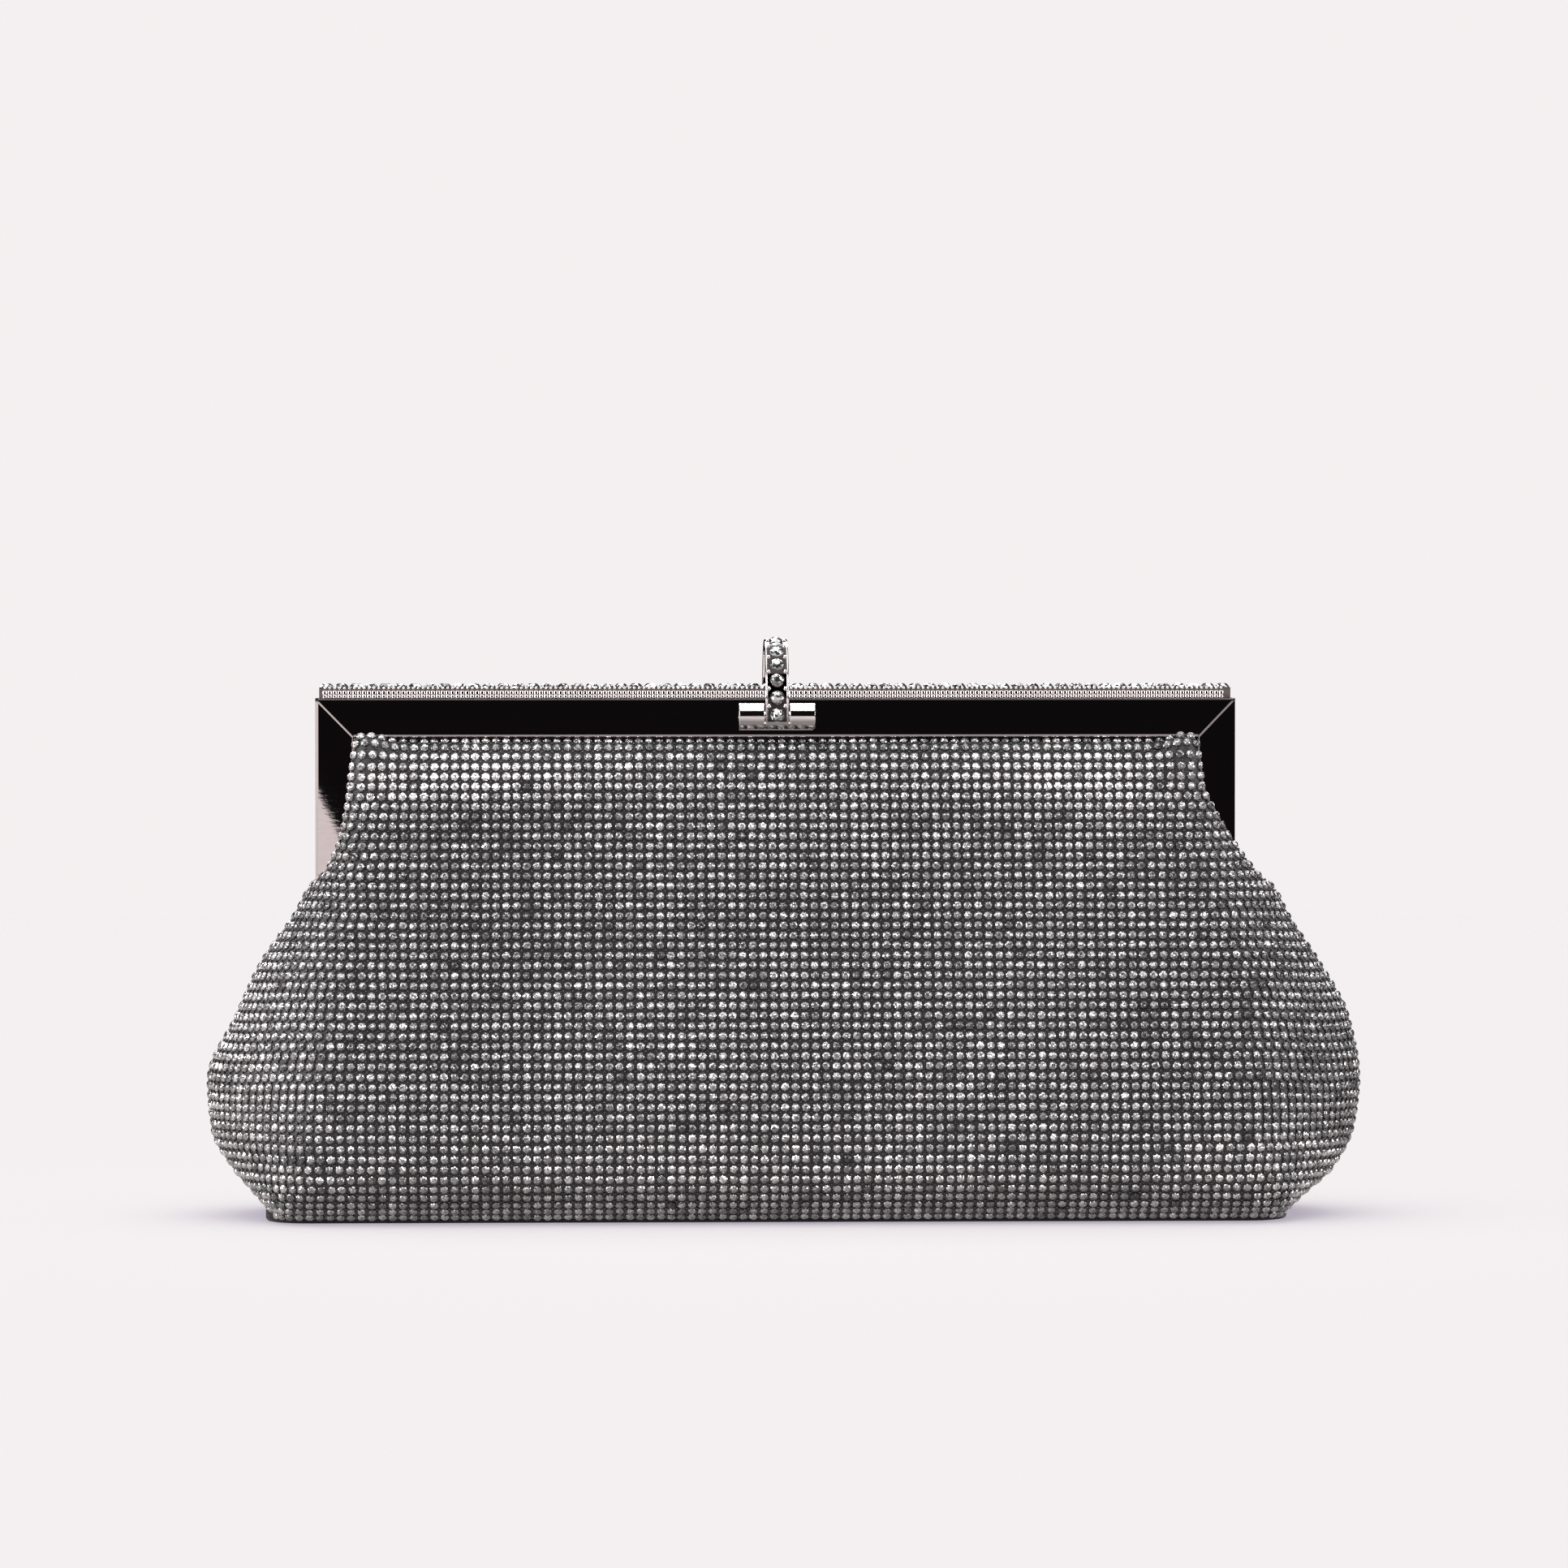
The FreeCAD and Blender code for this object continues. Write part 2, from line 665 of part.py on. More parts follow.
def clasp_knuckle(name, side):
    """A fixed barrel beside the hoop, with a saddle that fits the frame's sloping face."""
    body = new_body(f"clasp_knuckle_{name}")
    start = "(clasp_width/2 + clasp_clearance)"
    place = start if side > 0 else f"-({start} + knuckle_length)"
    barrel = new_sketch(body, "barrel", "YZ_Plane", place)
    add_circle(barrel, f"-{clasp_depth}", clasp_height, "barrel_radius")
    pad(body, barrel, "knuckle_length")
    saddle = new_sketch(body, "saddle", "YZ_Plane", place)
    points = []
    for level in ("-saddle_half_height", "saddle_half_height"):
        face_depth = f"({ledge_front} + {slope}*(clasp_drop - {level}))"
        points.append((f"-{face_depth}", f"{clasp_height} + {level}"))
    points.append((f"-{clasp_depth}", f"{clasp_height} + saddle_half_height"))
    points.append((f"-{clasp_depth}", f"{clasp_height} - saddle_half_height"))
    add_outline(saddle, points)
    pad(body, saddle, "knuckle_length")
    bore = new_sketch(body, "bore", "YZ_Plane", place)
    add_circle(bore, f"-{clasp_depth}", clasp_height, "pin_radius")
    pocket(body, bore, "knuckle_length", reversed_cut=True)


def clasp_pin():
    body = new_body("clasp_pin")
    plan = new_sketch(body, "plan", "YZ_Plane")
    add_circle(plan, f"-{clasp_depth}", clasp_height, "pin_radius")
    reach = "(clasp_width/2 + clasp_clearance + knuckle_length - pin_end_inset)"
    pad(body, plan, f"2*{reach}", midplane=True)


def add_hoop(sketch):
    """Half of a flat ring, about the sketch's own origin."""
    outer = value(hoop_radius)
    inner = value(f"{hoop_radius} - clasp_gauge")
    upward = Vector(0, 0, 1)
    half_turn = (0, math.pi)
    outside = Part.ArcOfCircle(Part.Circle(Vector(), upward, outer), *half_turn)
    inside = Part.ArcOfCircle(Part.Circle(Vector(), upward, inner), *half_turn)
    arcs = [sketch.addGeometry(arc, False) for arc in (outside, inside)]
    left = Part.LineSegment(Vector(-outer, 0, 0), Vector(-inner, 0, 0))
    right = Part.LineSegment(Vector(inner, 0, 0), Vector(outer, 0, 0))
    feet = [sketch.addGeometry(line, False) for line in (left, right)]
    joins = [
        (arcs[0], 2, feet[0], 1),
        (feet[0], 2, arcs[1], 2),
        (arcs[1], 1, feet[1], 1),
        (feet[1], 2, arcs[0], 1),
    ]
    for join in joins:
        sketch.addConstraint(Sketcher.Constraint("Coincident", *join))
    for arc, radius in zip(arcs, (hoop_radius, f"({hoop_radius} - clasp_gauge)")):
        sketch.addConstraint(Sketcher.Constraint("Coincident", arc, 3, -1, 1))
        index = sketch.addConstraint(Sketcher.Constraint("Radius", arc, value(radius)))
        sketch.setExpression(f"Constraints[{index}]", bound(radius))
    for foot in feet:
        sketch.addConstraint(Sketcher.Constraint("Horizontal", foot))


def clasp_arm():
    """The hoop: a barrel on the pin, a straight front, an arch over the rail and a hook."""
    body = new_body("clasp_arm")
    hoop = new_sketch(body, "hoop", "YZ_Plane", up=hoop_height)
    add_hoop(hoop)
    pad(body, hoop, "clasp_width", midplane=True)
    front = new_sketch(body, "front", "YZ_Plane")
    inner_face = f"clasp_gauge - {hoop_radius}"
    add_box(front, f"-{hoop_radius}", inner_face, clasp_height, hoop_height)
    pad(body, front, "clasp_width", midplane=True)
    barrel = new_sketch(body, "barrel", "YZ_Plane")
    add_circle(barrel, f"-{clasp_depth}", clasp_height, "barrel_radius")
    pad(body, barrel, "clasp_width", midplane=True)
    rear = new_sketch(body, "rear_end", "YZ_Plane")
    add_box(rear, "0", f"2*{hoop_radius}", f"{hook_bottom} - {clasp_top}", hook_bottom)
    pocket(body, rear, midplane=True)
    hook = new_sketch(body, "hook", "YZ_Plane")
    hook_top = f"{hook_bottom} + hook_height"
    hook_end = f"({hoop_radius} - clasp_gauge/2)"
    add_box(hook, f"{hoop_radius} - hook_reach", hook_end, hook_bottom, hook_top)
    pad(body, hook, "clasp_width", midplane=True)
    bore = new_sketch(body, "bore", "YZ_Plane")
    add_circle(bore, f"-{clasp_depth}", clasp_height, "pin_radius + rivet_clearance")
    pocket(body, bore, midplane=True)
    low_seat = new_sketch(body, "low_seat", "YZ_Plane", up=f"({hoop_height} - clasp_stone_drop)")
    arch_seat = new_sketch(body, "arch_seat", "YZ_Plane", up=hoop_height)
    for sketch in (low_seat, arch_seat):
        floor = f"-{hoop_radius} + seat_depth"
        mouth = f"-{hoop_radius} - clasp_stone_crown"
        add_box(sketch, mouth, floor, "0", "clasp_stone_radius + seat_clearance")
    turn(body, low_seat, "H_Axis", "Groove")
    groove = turn(body, arch_seat, "H_Axis", "Groove")
    clasp_pattern(body, groove, arch_seat)


def clasp_pattern(body, feature, sketch):
    """Repeat a feature up and over the hoop."""
    pattern = body.newObject("PartDesign::PolarPattern", f"{body.Label}_over_hoop")
    pattern.Originals = [feature]
    pattern.Axis = (sketch, ["N_Axis"])
    pattern.Reversed = True
    pattern.setExpression("Occurrences", bound("clasp_stone_count"))
    pattern.setExpression("Angle", bound("(clasp_stone_count - 1)*clasp_stone_step"))
    body.Tip = pattern
    doc.recompute()


def clasp_stones():
    body = new_body("clasp_stones")
    profile = stone_profile("clasp_stone_radius", "clasp_stone_crown")
    outline = [(f"-{hoop_radius} - ({height})", radius) for radius, height in profile]
    low = new_sketch(body, "low", "YZ_Plane", up=f"({hoop_height} - clasp_stone_drop)")
    add_outline(low, outline)
    turn(body, low, "H_Axis")
    arch = new_sketch(body, "arch", "YZ_Plane", up=hoop_height)
    add_outline(arch, outline)
    stone = turn(body, arch, "H_Axis")
    clasp_pattern(body, stone, arch)


def catch_pieces(back_frame):
    """A bracket under the hook, riveted to the back frame's ledge."""
    catch = new_body("clasp_catch")
    section = new_sketch(catch, "section", "YZ_Plane")
    root_depth = f"{ledge_front} + {slope}*catch_root_drop"
    points = [
        ("catch_start", "frame_top"),
        (ledge_front, "frame_top"),
        (root_depth, "frame_top - catch_root_drop"),
        (f"{root_depth} + catch_root_depth", "frame_top - catch_root_drop"),
        (tongue_depth, "frame_top"),
        (tongue_depth, catch_top),
        ("catch_start", catch_top),
    ]
    add_outline(section, points)
    pad(catch, section, "2*catch_half_width", midplane=True)
    rivets = new_body("catch_rivets")
    depth = f"(catch_start + catch_rivet_inset)"
    for side in (-1, 1):
        spot = (f"{side}*catch_rivet_spread", depth)
        for body in (catch, back_frame):
            hole = new_sketch(body, f"rivet_hole_{side + 1}", "XY_Plane", catch_top)
            add_circle(hole, *spot, "catch_rivet_radius")
            pocket(body, hole, "(catch_gauge + 2*sheet_gauge)")
        shank = new_sketch(rivets, f"shank_{side + 1}", "XY_Plane", "frame_top - sheet_gauge")
        add_circle(shank, *spot, "catch_rivet_radius")
        pad(rivets, shank, "sheet_gauge + catch_gauge")
        head = new_sketch(rivets, f"head_{side + 1}", "XY_Plane", catch_top)
        add_circle(head, *spot, "catch_head_radius")
        pad(rivets, head, "catch_head_height")


rail_room = f"(2*{rail_half_length} - 2*stone_radius - 2*seat_clearance)"
rail_count = f"(floor({rail_room}/stone_pitch) + 1)"
first_stone = f"(-({rail_count} - 1)*stone_pitch/2)"
joggle = "(sheet_gauge + washer_gauge + 2*washer_clearance)"

base_pieces()
for side_name, face in (("front", -1), ("back", 1)):
    pouch_wall(f"{side_name}_panel_lower", face, "0", "panel_gauge")
    pouch_wall(f"{side_name}_interlining", face, "panel_gauge", "interlining_gauge")
    layers = "(panel_gauge + interlining_gauge)"
    pouch_wall(f"{side_name}_lining_lower", face, layers, "lining_gauge")
    mouth_wall(f"{side_name}_panel_upper", face, "0", "panel_gauge")
    mouth_wall(f"{side_name}_lining_upper", face, "panel_gauge", "lining_gauge", "lining_hem_lift")
    channel_cord(f"{side_name}_cord", face)
slip_pocket()
frame_half("front_frame", -1, "0")
back_frame = frame_half("back_frame", 1, joggle)
for side_name, side in (("left", -1), ("right", 1)):
    hinge_hardware(side_name, side)
    clasp_knuckle(side_name, side)
rail_pieces()
clasp_pin()
clasp_arm()
clasp_stones()
catch_pieces(back_frame)
doc.recompute()

for item in doc.Objects:
    if "Invalid" in item.State or "Error" in item.State:
        raise RuntimeError(f"{item.Name} did not build: {item.State}")
bodies = [item for item in doc.Objects if item.TypeId == "PartDesign::Body"]
for body in bodies:
    if body.Shape.isNull() or not body.Shape.isValid():
        raise RuntimeError(f"{body.Label} has no valid shape")
for body in bodies:
    body.Shape.exportStep(f"parts/{body.Label}.step")
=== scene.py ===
import json
import math
import bpy
import numpy as np
from mathutils import Matrix, Vector


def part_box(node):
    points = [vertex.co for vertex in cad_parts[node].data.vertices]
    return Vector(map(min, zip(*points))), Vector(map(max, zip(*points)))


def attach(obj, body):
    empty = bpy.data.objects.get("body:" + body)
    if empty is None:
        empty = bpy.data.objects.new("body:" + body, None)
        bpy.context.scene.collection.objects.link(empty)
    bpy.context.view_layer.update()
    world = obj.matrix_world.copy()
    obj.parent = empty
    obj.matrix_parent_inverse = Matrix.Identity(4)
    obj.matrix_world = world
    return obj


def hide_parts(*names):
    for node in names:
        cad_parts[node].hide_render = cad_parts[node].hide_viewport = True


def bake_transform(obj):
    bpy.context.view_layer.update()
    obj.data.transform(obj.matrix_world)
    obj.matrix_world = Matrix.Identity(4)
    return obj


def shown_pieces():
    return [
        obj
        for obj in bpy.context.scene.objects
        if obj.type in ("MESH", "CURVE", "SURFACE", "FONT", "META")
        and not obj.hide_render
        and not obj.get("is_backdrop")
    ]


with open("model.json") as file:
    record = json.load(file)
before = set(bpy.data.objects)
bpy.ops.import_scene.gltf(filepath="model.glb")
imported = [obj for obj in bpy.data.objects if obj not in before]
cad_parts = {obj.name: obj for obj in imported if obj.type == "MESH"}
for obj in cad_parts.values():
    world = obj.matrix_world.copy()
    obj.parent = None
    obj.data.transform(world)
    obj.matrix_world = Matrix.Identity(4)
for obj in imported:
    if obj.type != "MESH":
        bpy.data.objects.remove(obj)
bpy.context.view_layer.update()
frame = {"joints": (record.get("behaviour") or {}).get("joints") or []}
mm = 0.001
scene = bpy.context.scene
print("frame loaded")

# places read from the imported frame
jointPlaces = {joint["name"]: joint for joint in frame["joints"]}
claspAxis = Vector(jointPlaces["clasp_flip"]["pos_m"])
frameLow, frameHigh = (Vector(corner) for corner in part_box("front_frame"))
frameEnd = frameHigh.x
frameTop = frameHigh.z
faceFront = -frameLow.y
faceWidth = 8.8
lipHeight = frameTop - faceWidth * mm
railHigh = Vector(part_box("stone_rail")[1])


# ---------- small helpers ----------

def deselectAll():
    for item in bpy.context.selected_objects:
        item.select_set(False)


def makeActive(piece):
    deselectAll()
    piece.select_set(True)
    bpy.context.view_layer.objects.active = piece


def finishPiece(piece):
    # the place goes into the mesh, so the object stays at the origin
    makeActive(piece)
    bpy.ops.object.transform_apply(location=True, rotation=True, scale=True)


def applyModifiers(piece):
    makeActive(piece)
    for modifier in list(piece.modifiers):
        bpy.ops.object.modifier_apply(modifier=modifier.name)


def newPiece(name):
    piece = bpy.context.active_object
    piece.name = name
    piece.data.name = name
    return piece


def editPiece(piece, mode):
    makeActive(piece)
    bpy.ops.object.mode_set(mode="EDIT")
    bpy.ops.mesh.select_mode(type=mode)
    bpy.ops.mesh.select_all(action="DESELECT")
    bpy.ops.object.mode_set(mode="OBJECT")


def selectFaces(piece, wanted):
    editPiece(piece, "FACE")
    for face in piece.data.polygons:
        face.select = wanted(face)
    bpy.ops.object.mode_set(mode="EDIT")


def leaveEdit():
    bpy.ops.object.mode_set(mode="OBJECT")


def selectEdges(piece, wanted):
    editPiece(piece, "EDGE")
    for edge in piece.data.edges:
        edge.select = wanted(*(piece.data.vertices[index].co for index in edge.vertices))
    bpy.ops.object.mode_set(mode="EDIT")


def thicken(piece, gauge):
    # the gauge goes inwards from the face
    solid = piece.modifiers.new("gauge", "SOLIDIFY")
    solid.thickness = gauge
    solid.offset = -1
    applyModifiers(piece)


def pieceFromMesh(name, vertices, faces):
    mesh = bpy.data.meshes.new(name)
    mesh.from_pydata([tuple(vertex) for vertex in vertices], [], faces)
    mesh.update()
    piece = bpy.data.objects.new(name, mesh)
    scene.collection.objects.link(piece)
    return piece


def setMaterial(piece, material):
    piece.data.materials.clear()
    piece.data.materials.append(material)


def joinPieces(parts, name):
    deselectAll()
    for part in parts:
        part.select_set(True)
    bpy.context.view_layer.objects.active = parts[0]
    bpy.ops.object.join()
    return newPiece(name)


def unitRows(vectors):
    return vectors / np.linalg.norm(vectors, axis=1)[:, None]


def addMounds(base, mounds, across, up):
    # soft round bumps, each given as across, up, width, height and amount
    for x, z, width, tall, amount in mounds:
        base = base + amount * np.exp(-(((across - x) / width) ** 2) - ((up - z) / tall) ** 2)
    return base


def smoothStep(value):
    value = np.clip(value, 0, 1)
    return value * value * (3 - 2 * value)


def smoothThrough(knots, values, at):
    # a smooth curve through the knots, with no overshoot at flat stretches
    knots = np.array(knots, float)
    values = np.array(values, float)
    slopes = np.diff(values) / np.diff(knots)
    tangents = np.zeros(len(knots))
    same = slopes[:-1] * slopes[1:] > 0
    mean = 2 * slopes[:-1] * slopes[1:] / np.where(same, slopes[:-1] + slopes[1:], 1)
    tangents[1:-1] = np.where(same, mean, 0)
    tangents[0], tangents[-1] = slopes[0], slopes[-1]
    at = np.clip(at, knots[0], knots[-1])
    index = np.clip(np.searchsorted(knots, at) - 1, 0, len(knots) - 2)
    width = knots[index + 1] - knots[index]
    t = (at - knots[index]) / width
    rise = 3 * t**2 - 2 * t**3
    first = t**3 - 2 * t**2 + t
    last = t**3 - t**2
    lowPart = values[index] * (1 - rise) + first * width * tangents[index]
    return lowPart + values[index + 1] * rise + last * width * tangents[index + 1]


# ---------- materials ----------

def feed(tree, socket, value):
    # another node's output is linked, a plain value is set
    if isinstance(value, bpy.types.NodeSocket):
        tree.links.new(value, socket)
    else:
        socket.default_value = value


def addNode(tree, kind, inputs=None, **settings):
    node = tree.nodes.new(kind)
    for key, value in settings.items():
        setattr(node, key, value)
    for label, value in (inputs or {}).items():
        feed(tree, node.inputs[label], value)
    return node


def mathNode(tree, operation, first, second=0.0):
    node = addNode(tree, "ShaderNodeMath", {0: first, 1: second}, operation=operation)
    return node.outputs[0]


def vectorNode(tree, operation, first, second):
    node = addNode(tree, "ShaderNodeVectorMath", {0: first, 1: second}, operation=operation)
    return node.outputs[0]


def unitNode(tree, value):
    return addNode(tree, "ShaderNodeVectorMath", {0: value}, operation="NORMALIZE").outputs[0]


def rangeNode(tree, value, fromLow, fromHigh, toLow=0.0, toHigh=1.0):
    node = addNode(tree, "ShaderNodeMapRange", {
        "Value": value, "From Min": fromLow, "From Max": fromHigh,
        "To Min": toLow, "To Max": toHigh,
    })
    return node.outputs["Result"]


def mixColours(tree, factor, first, second):
    ends = [(*end, 1.0) if isinstance(end, tuple) else end for end in (first, second)]
    inputs = {"Factor": factor, 6: ends[0], 7: ends[1]}
    return addNode(tree, "ShaderNodeMix", inputs, data_type="RGBA").outputs[2]


def objectCoords(tree):
    return addNode(tree, "ShaderNodeTexCoord").outputs["Object"]


def splitPlace(tree, coords=None):
    return addNode(tree, "ShaderNodeSeparateXYZ", {0: coords or objectCoords(tree)}).outputs


def newMaterial(name, **plain):
    material = bpy.data.materials.new(name)
    material.use_nodes = True
    surface = material.node_tree.nodes["Principled BSDF"]
    for label, value in plain.items():
        surface.inputs[label.replace("_", " ")].default_value = value
    return material, material.node_tree, surface.inputs


def recolour(tree, mask, colour):
    # another base colour where the mask is one
    socket = tree.nodes["Principled BSDF"].inputs["Base Color"]
    before = socket.links[0].from_socket
    feed(tree, socket, mixColours(tree, mask, before, colour))


def groupWith(name, inputs, outputs):
    group = bpy.data.node_groups.new(name, "ShaderNodeTree")
    for label, value in inputs.items():
        socket = group.interface.new_socket(label, in_out="INPUT", socket_type="NodeSocketFloat")
        socket.default_value = value
    for label, kind in outputs.items():
        group.interface.new_socket(label, in_out="OUTPUT", socket_type="NodeSocket" + kind)
    start = group.nodes.new("NodeGroupInput")
    end = group.nodes.new("NodeGroupOutput")
    return group, start.outputs, end.inputs


def placeGroup(tree, group, inputs=None):
    return addNode(tree, "ShaderNodeGroup", inputs, node_tree=group).outputs


def makeWearGroup():
    # fine handling scratches and soft smudges, as a roughness and a bump height
    group, given, result = groupWith(
        "handlingWear",
        {"Scratch Scale": 900.0, "Smudge Scale": 45.0},
        {"Roughness": "Float", "Height": "Float"},
    )
    coords = objectCoords(group)
    scratches = addNode(group, "ShaderNodeTexNoise", {
        "Vector": vectorNode(group, "MULTIPLY", coords, (0.25, 1.0, 1.6)),
        "Scale": given["Scratch Scale"], "Detail": 3,
    }).outputs["Fac"]
    smudges = addNode(group, "ShaderNodeTexNoise", {
        "Vector": coords, "Scale": given["Smudge Scale"], "Detail": 5, "Roughness": 0.62,
    }).outputs["Fac"]
    fine = rangeNode(group, scratches, 0.45, 0.75, 0.0, 0.05)
    soft = rangeNode(group, smudges, 0.35, 0.75, 0.025, 0.11)
    feed(group, result["Roughness"], mathNode(group, "ADD", fine, soft))
    feed(group, result["Height"], scratches)
    return group


def makeFacetGroup():
    # small flat cells that each lean their own way, as the back facets of a cut stone show
    group, given, result = groupWith(
        "innerFacets",
        {"Cell Scale": 1800.0, "Lean": 0.5},
        {"Normal": "Vector", "Tone": "Float"},
    )
    cells = addNode(group, "ShaderNodeTexVoronoi", {
        "Vector": objectCoords(group), "Scale": given["Cell Scale"],
    }).outputs["Color"]
    leaned = addNode(group, "ShaderNodeVectorMath", {
        0: vectorNode(group, "SUBTRACT", cells, (0.5, 0.5, 0.5)), "Scale": given["Lean"],
    }, operation="SCALE").outputs[0]
    normal = addNode(group, "ShaderNodeNewGeometry").outputs["Normal"]
    feed(group, result["Normal"], unitNode(group, vectorNode(group, "ADD", normal, leaned)))
    tone = addNode(group, "ShaderNodeSeparateColor", {0: cells}).outputs[0]
    feed(group, result["Tone"], tone)
    return group


def makeWeaveGroup():
    # crossing threads, from two wave patterns on the piece's own map
    group, given, result = groupWith(
        "threadWeave", {"Thread Scale": 900.0}, {"Height": "Float", "Mask": "Float"}
    )
    flat = addNode(group, "ShaderNodeTexCoord").outputs["UV"]
    waves = {
        "Vector": flat, "Scale": given["Thread Scale"], "Distortion": 0.6, "Detail": 1,
    }
    heights = [
        addNode(group, "ShaderNodeTexWave", waves, bands_direction=direction).outputs["Fac"]
        for direction in ("X", "Y")
    ]
    feed(group, result["Height"], mathNode(group, "ADD", *heights))
    feed(group, result["Mask"], mathNode(group, "MULTIPLY", *heights))
    return group


wearGroup = makeWearGroup()
facetGroup = makeFacetGroup()
weaveGroup = makeWeaveGroup()


def addBump(tree, height, strength, distance, edgeRadius=None):
    bump = addNode(tree, "ShaderNodeBump", {
        "Height": height, "Strength": strength, "Distance": distance,
    })
    if edgeRadius is not None:
        # sharp sheet edges take the light as if rolled by the polishing wheel
        edge = addNode(tree, "ShaderNodeBevel", {"Radius": edgeRadius}, samples=6)
        feed(tree, bump.inputs["Normal"], edge.outputs["Normal"])
    feed(tree, tree.nodes["Principled BSDF"].inputs["Normal"], bump.outputs["Normal"])


def polishedPlating(name, colour, shade, dulling=1.0, edgeRadius=0.35 * mm):
    material, tree, surface = newMaterial(name, Metallic=1.0)
    wear = placeGroup(tree, wearGroup)
    feed(tree, surface["Roughness"], mathNode(tree, "MULTIPLY", wear["Roughness"], dulling))
    tone = rangeNode(tree, wear["Roughness"], 0.03, 0.14)
    feed(tree, surface["Base Color"], mixColours(tree, tone, colour, shade))
    addBump(tree, wear["Height"], 0.02, 0.02 * mm, edgeRadius)
    return material


# Masks on the frame, each from where it starts to where it is full, in millimetres.
mitre = {
    "line": (0.30, 0.16),
    "bar": (8.9, 9.0),
    "lipEdge": (0.56, 0.42),
    "outerEdge": (0.75, 0.65),
    "frontEdge": (4.0, 4.4),
    "topEdge": (0.8, 0.5),
    "rolledFall": -0.7,
    "outerFall": -0.45,
    "outerTurn": -0.9,
    # the colour of the painted shade on the rolled front edge under the rail
    "railShadeColour": (0.05, 0.043, 0.042),
}


def mitredPlating(name, colour, shade):
    # the frame's plating, with the fine step of the mitre across each top corner
    material = polishedPlating(name, colour, shade, dulling=0.1)
    tree = material.node_tree
    x, y, z = splitPlace(tree)

    def mask(label, value, origin=0.0, sense=1):
        start, full = (origin + sense * edge * mm for edge in mitre[label])
        return rangeNode(tree, value, start, full)

    across = mathNode(tree, "ABSOLUTE", x)
    slant = mathNode(tree, "SUBTRACT", across, z)
    off = mathNode(tree, "ABSOLUTE", mathNode(tree, "SUBTRACT", slant, frameEnd - frameTop))
    # the lip's lower edge and the mitre are rounded over, so they catch the light from below
    onBar = mask("bar", across, frameEnd, -1)
    lipEdge = mathNode(tree, "MULTIPLY", onBar, mask("lipEdge", z, lipHeight))
    rolled = mathNode(tree, "MAXIMUM", mask("line", off), lipEdge)
    outer = mask("outerEdge", mathNode(tree, "MULTIPLY", x, -1.0), frameEnd, -1)
    fall = mathNode(
        tree, "ADD", mathNode(tree, "MULTIPLY", rolled, mitre["rolledFall"]),
        mathNode(tree, "MULTIPLY", outer, mitre["outerFall"]),
    )
    lean = addNode(tree, "ShaderNodeCombineXYZ", {
        0: mathNode(tree, "MULTIPLY", outer, mitre["outerTurn"]), 2: fall,
    }).outputs[0]
    tilted = vectorNode(tree, "ADD", tree.nodes["Bump"].outputs["Normal"], lean)
    feed(tree, tree.nodes["Principled BSDF"].inputs["Normal"], unitNode(tree, tilted))
    # painted shade: the rolled front edge under the rail is coloured dark
    nearEdge = mask("frontEdge", mathNode(tree, "ABSOLUTE", y))
    nearTop = mask("topEdge", z, frameTop, -1)
    recolour(tree, mathNode(tree, "MULTIPLY", nearEdge, nearTop), mitre["railShadeColour"])
    return material


# the channel's half width, its top below the axis, and the colour of its painted shade
channel = {"half": (2.22, 2.12), "belowAxis": (1.3, 1.2), "colour": (0.045, 0.04, 0.04)}


def settingPlating(name, colour, shade):
    # the clasp's plating, with painted shade darkening the channel where its stones are set
    material = polishedPlating(name, colour, shade)
    tree = material.node_tree
    x, _, z = splitPlace(tree)
    start, full = (half * mm for half in channel["half"])
    within = rangeNode(tree, mathNode(tree, "ABSOLUTE", x), start, full)
    start, full = (claspAxis.z - below * mm for below in channel["belowAxis"])
    channelShade = mathNode(tree, "MULTIPLY", within, rangeNode(tree, z, start, full))
    recolour(tree, channelShade, channel["colour"])
    return material


def foiledStone(name, cellScale, lean, bright, dark, roughness):
    # a cut stone with a foiled back, seen as mirror facets under a clear top
    material, tree, surface = newMaterial(
        name, Metallic=0.9, Roughness=roughness, Coat_Weight=0.3, Coat_Roughness=0.02
    )
    facets = placeGroup(tree, facetGroup, {"Cell Scale": cellScale, "Lean": lean})
    feed(tree, surface["Normal"], facets["Normal"])
    # each stone's painted sheen and random tone set how bright its base colour is
    own = addNode(tree, "ShaderNodeAttribute", attribute_name="sheenAndTone").outputs["Fac"]
    soft = rangeNode(tree, facets["Tone"], 0.0, 1.0, 0.45, 1.0)
    share = mathNode(tree, "MULTIPLY", own, soft)
    feed(tree, surface["Base Color"], mixColours(tree, share, dark, bright))
    return material


def wovenCloth(name, light, dark, threadScale, sheen, bump):
    material, tree, surface = newMaterial(name, Sheen_Weight=sheen)
    weave = placeGroup(tree, weaveGroup, {"Thread Scale": threadScale})
    feed(tree, surface["Base Color"], mixColours(tree, weave["Mask"], dark, light))
    feed(tree, surface["Roughness"], rangeNode(tree, weave["Mask"], 0.0, 1.0, 0.62, 0.42))
    addBump(tree, weave["Height"], bump, 0.06 * mm)
    return material


def soleCloth():
    # dark metallic weave with rows of tiny pressed dots
    material, tree, surface = newMaterial("sole_weave", Specular_IOR_Level=0.15)
    coords = objectCoords(tree)
    dots = addNode(tree, "ShaderNodeTexVoronoi", {
        "Vector": coords, "Scale": 1150.0, "Randomness": 0.35,
    })
    dotMask = rangeNode(tree, dots.outputs["Distance"], 0.15, 0.55)
    patches = addNode(tree, "ShaderNodeTexNoise", {"Vector": coords, "Scale": 160.0})
    base = mixColours(tree, dotMask, (0.008, 0.007, 0.008), (0.034, 0.030, 0.032))
    tint = mixColours(tree, patches.outputs["Fac"], base, (0.022, 0.020, 0.021))
    feed(tree, surface["Base Color"], tint)
    feed(tree, surface["Roughness"], rangeNode(tree, dotMask, 0.0, 1.0, 0.7, 0.4))
    addBump(tree, dotMask, 0.6, 0.1 * mm)
    return material


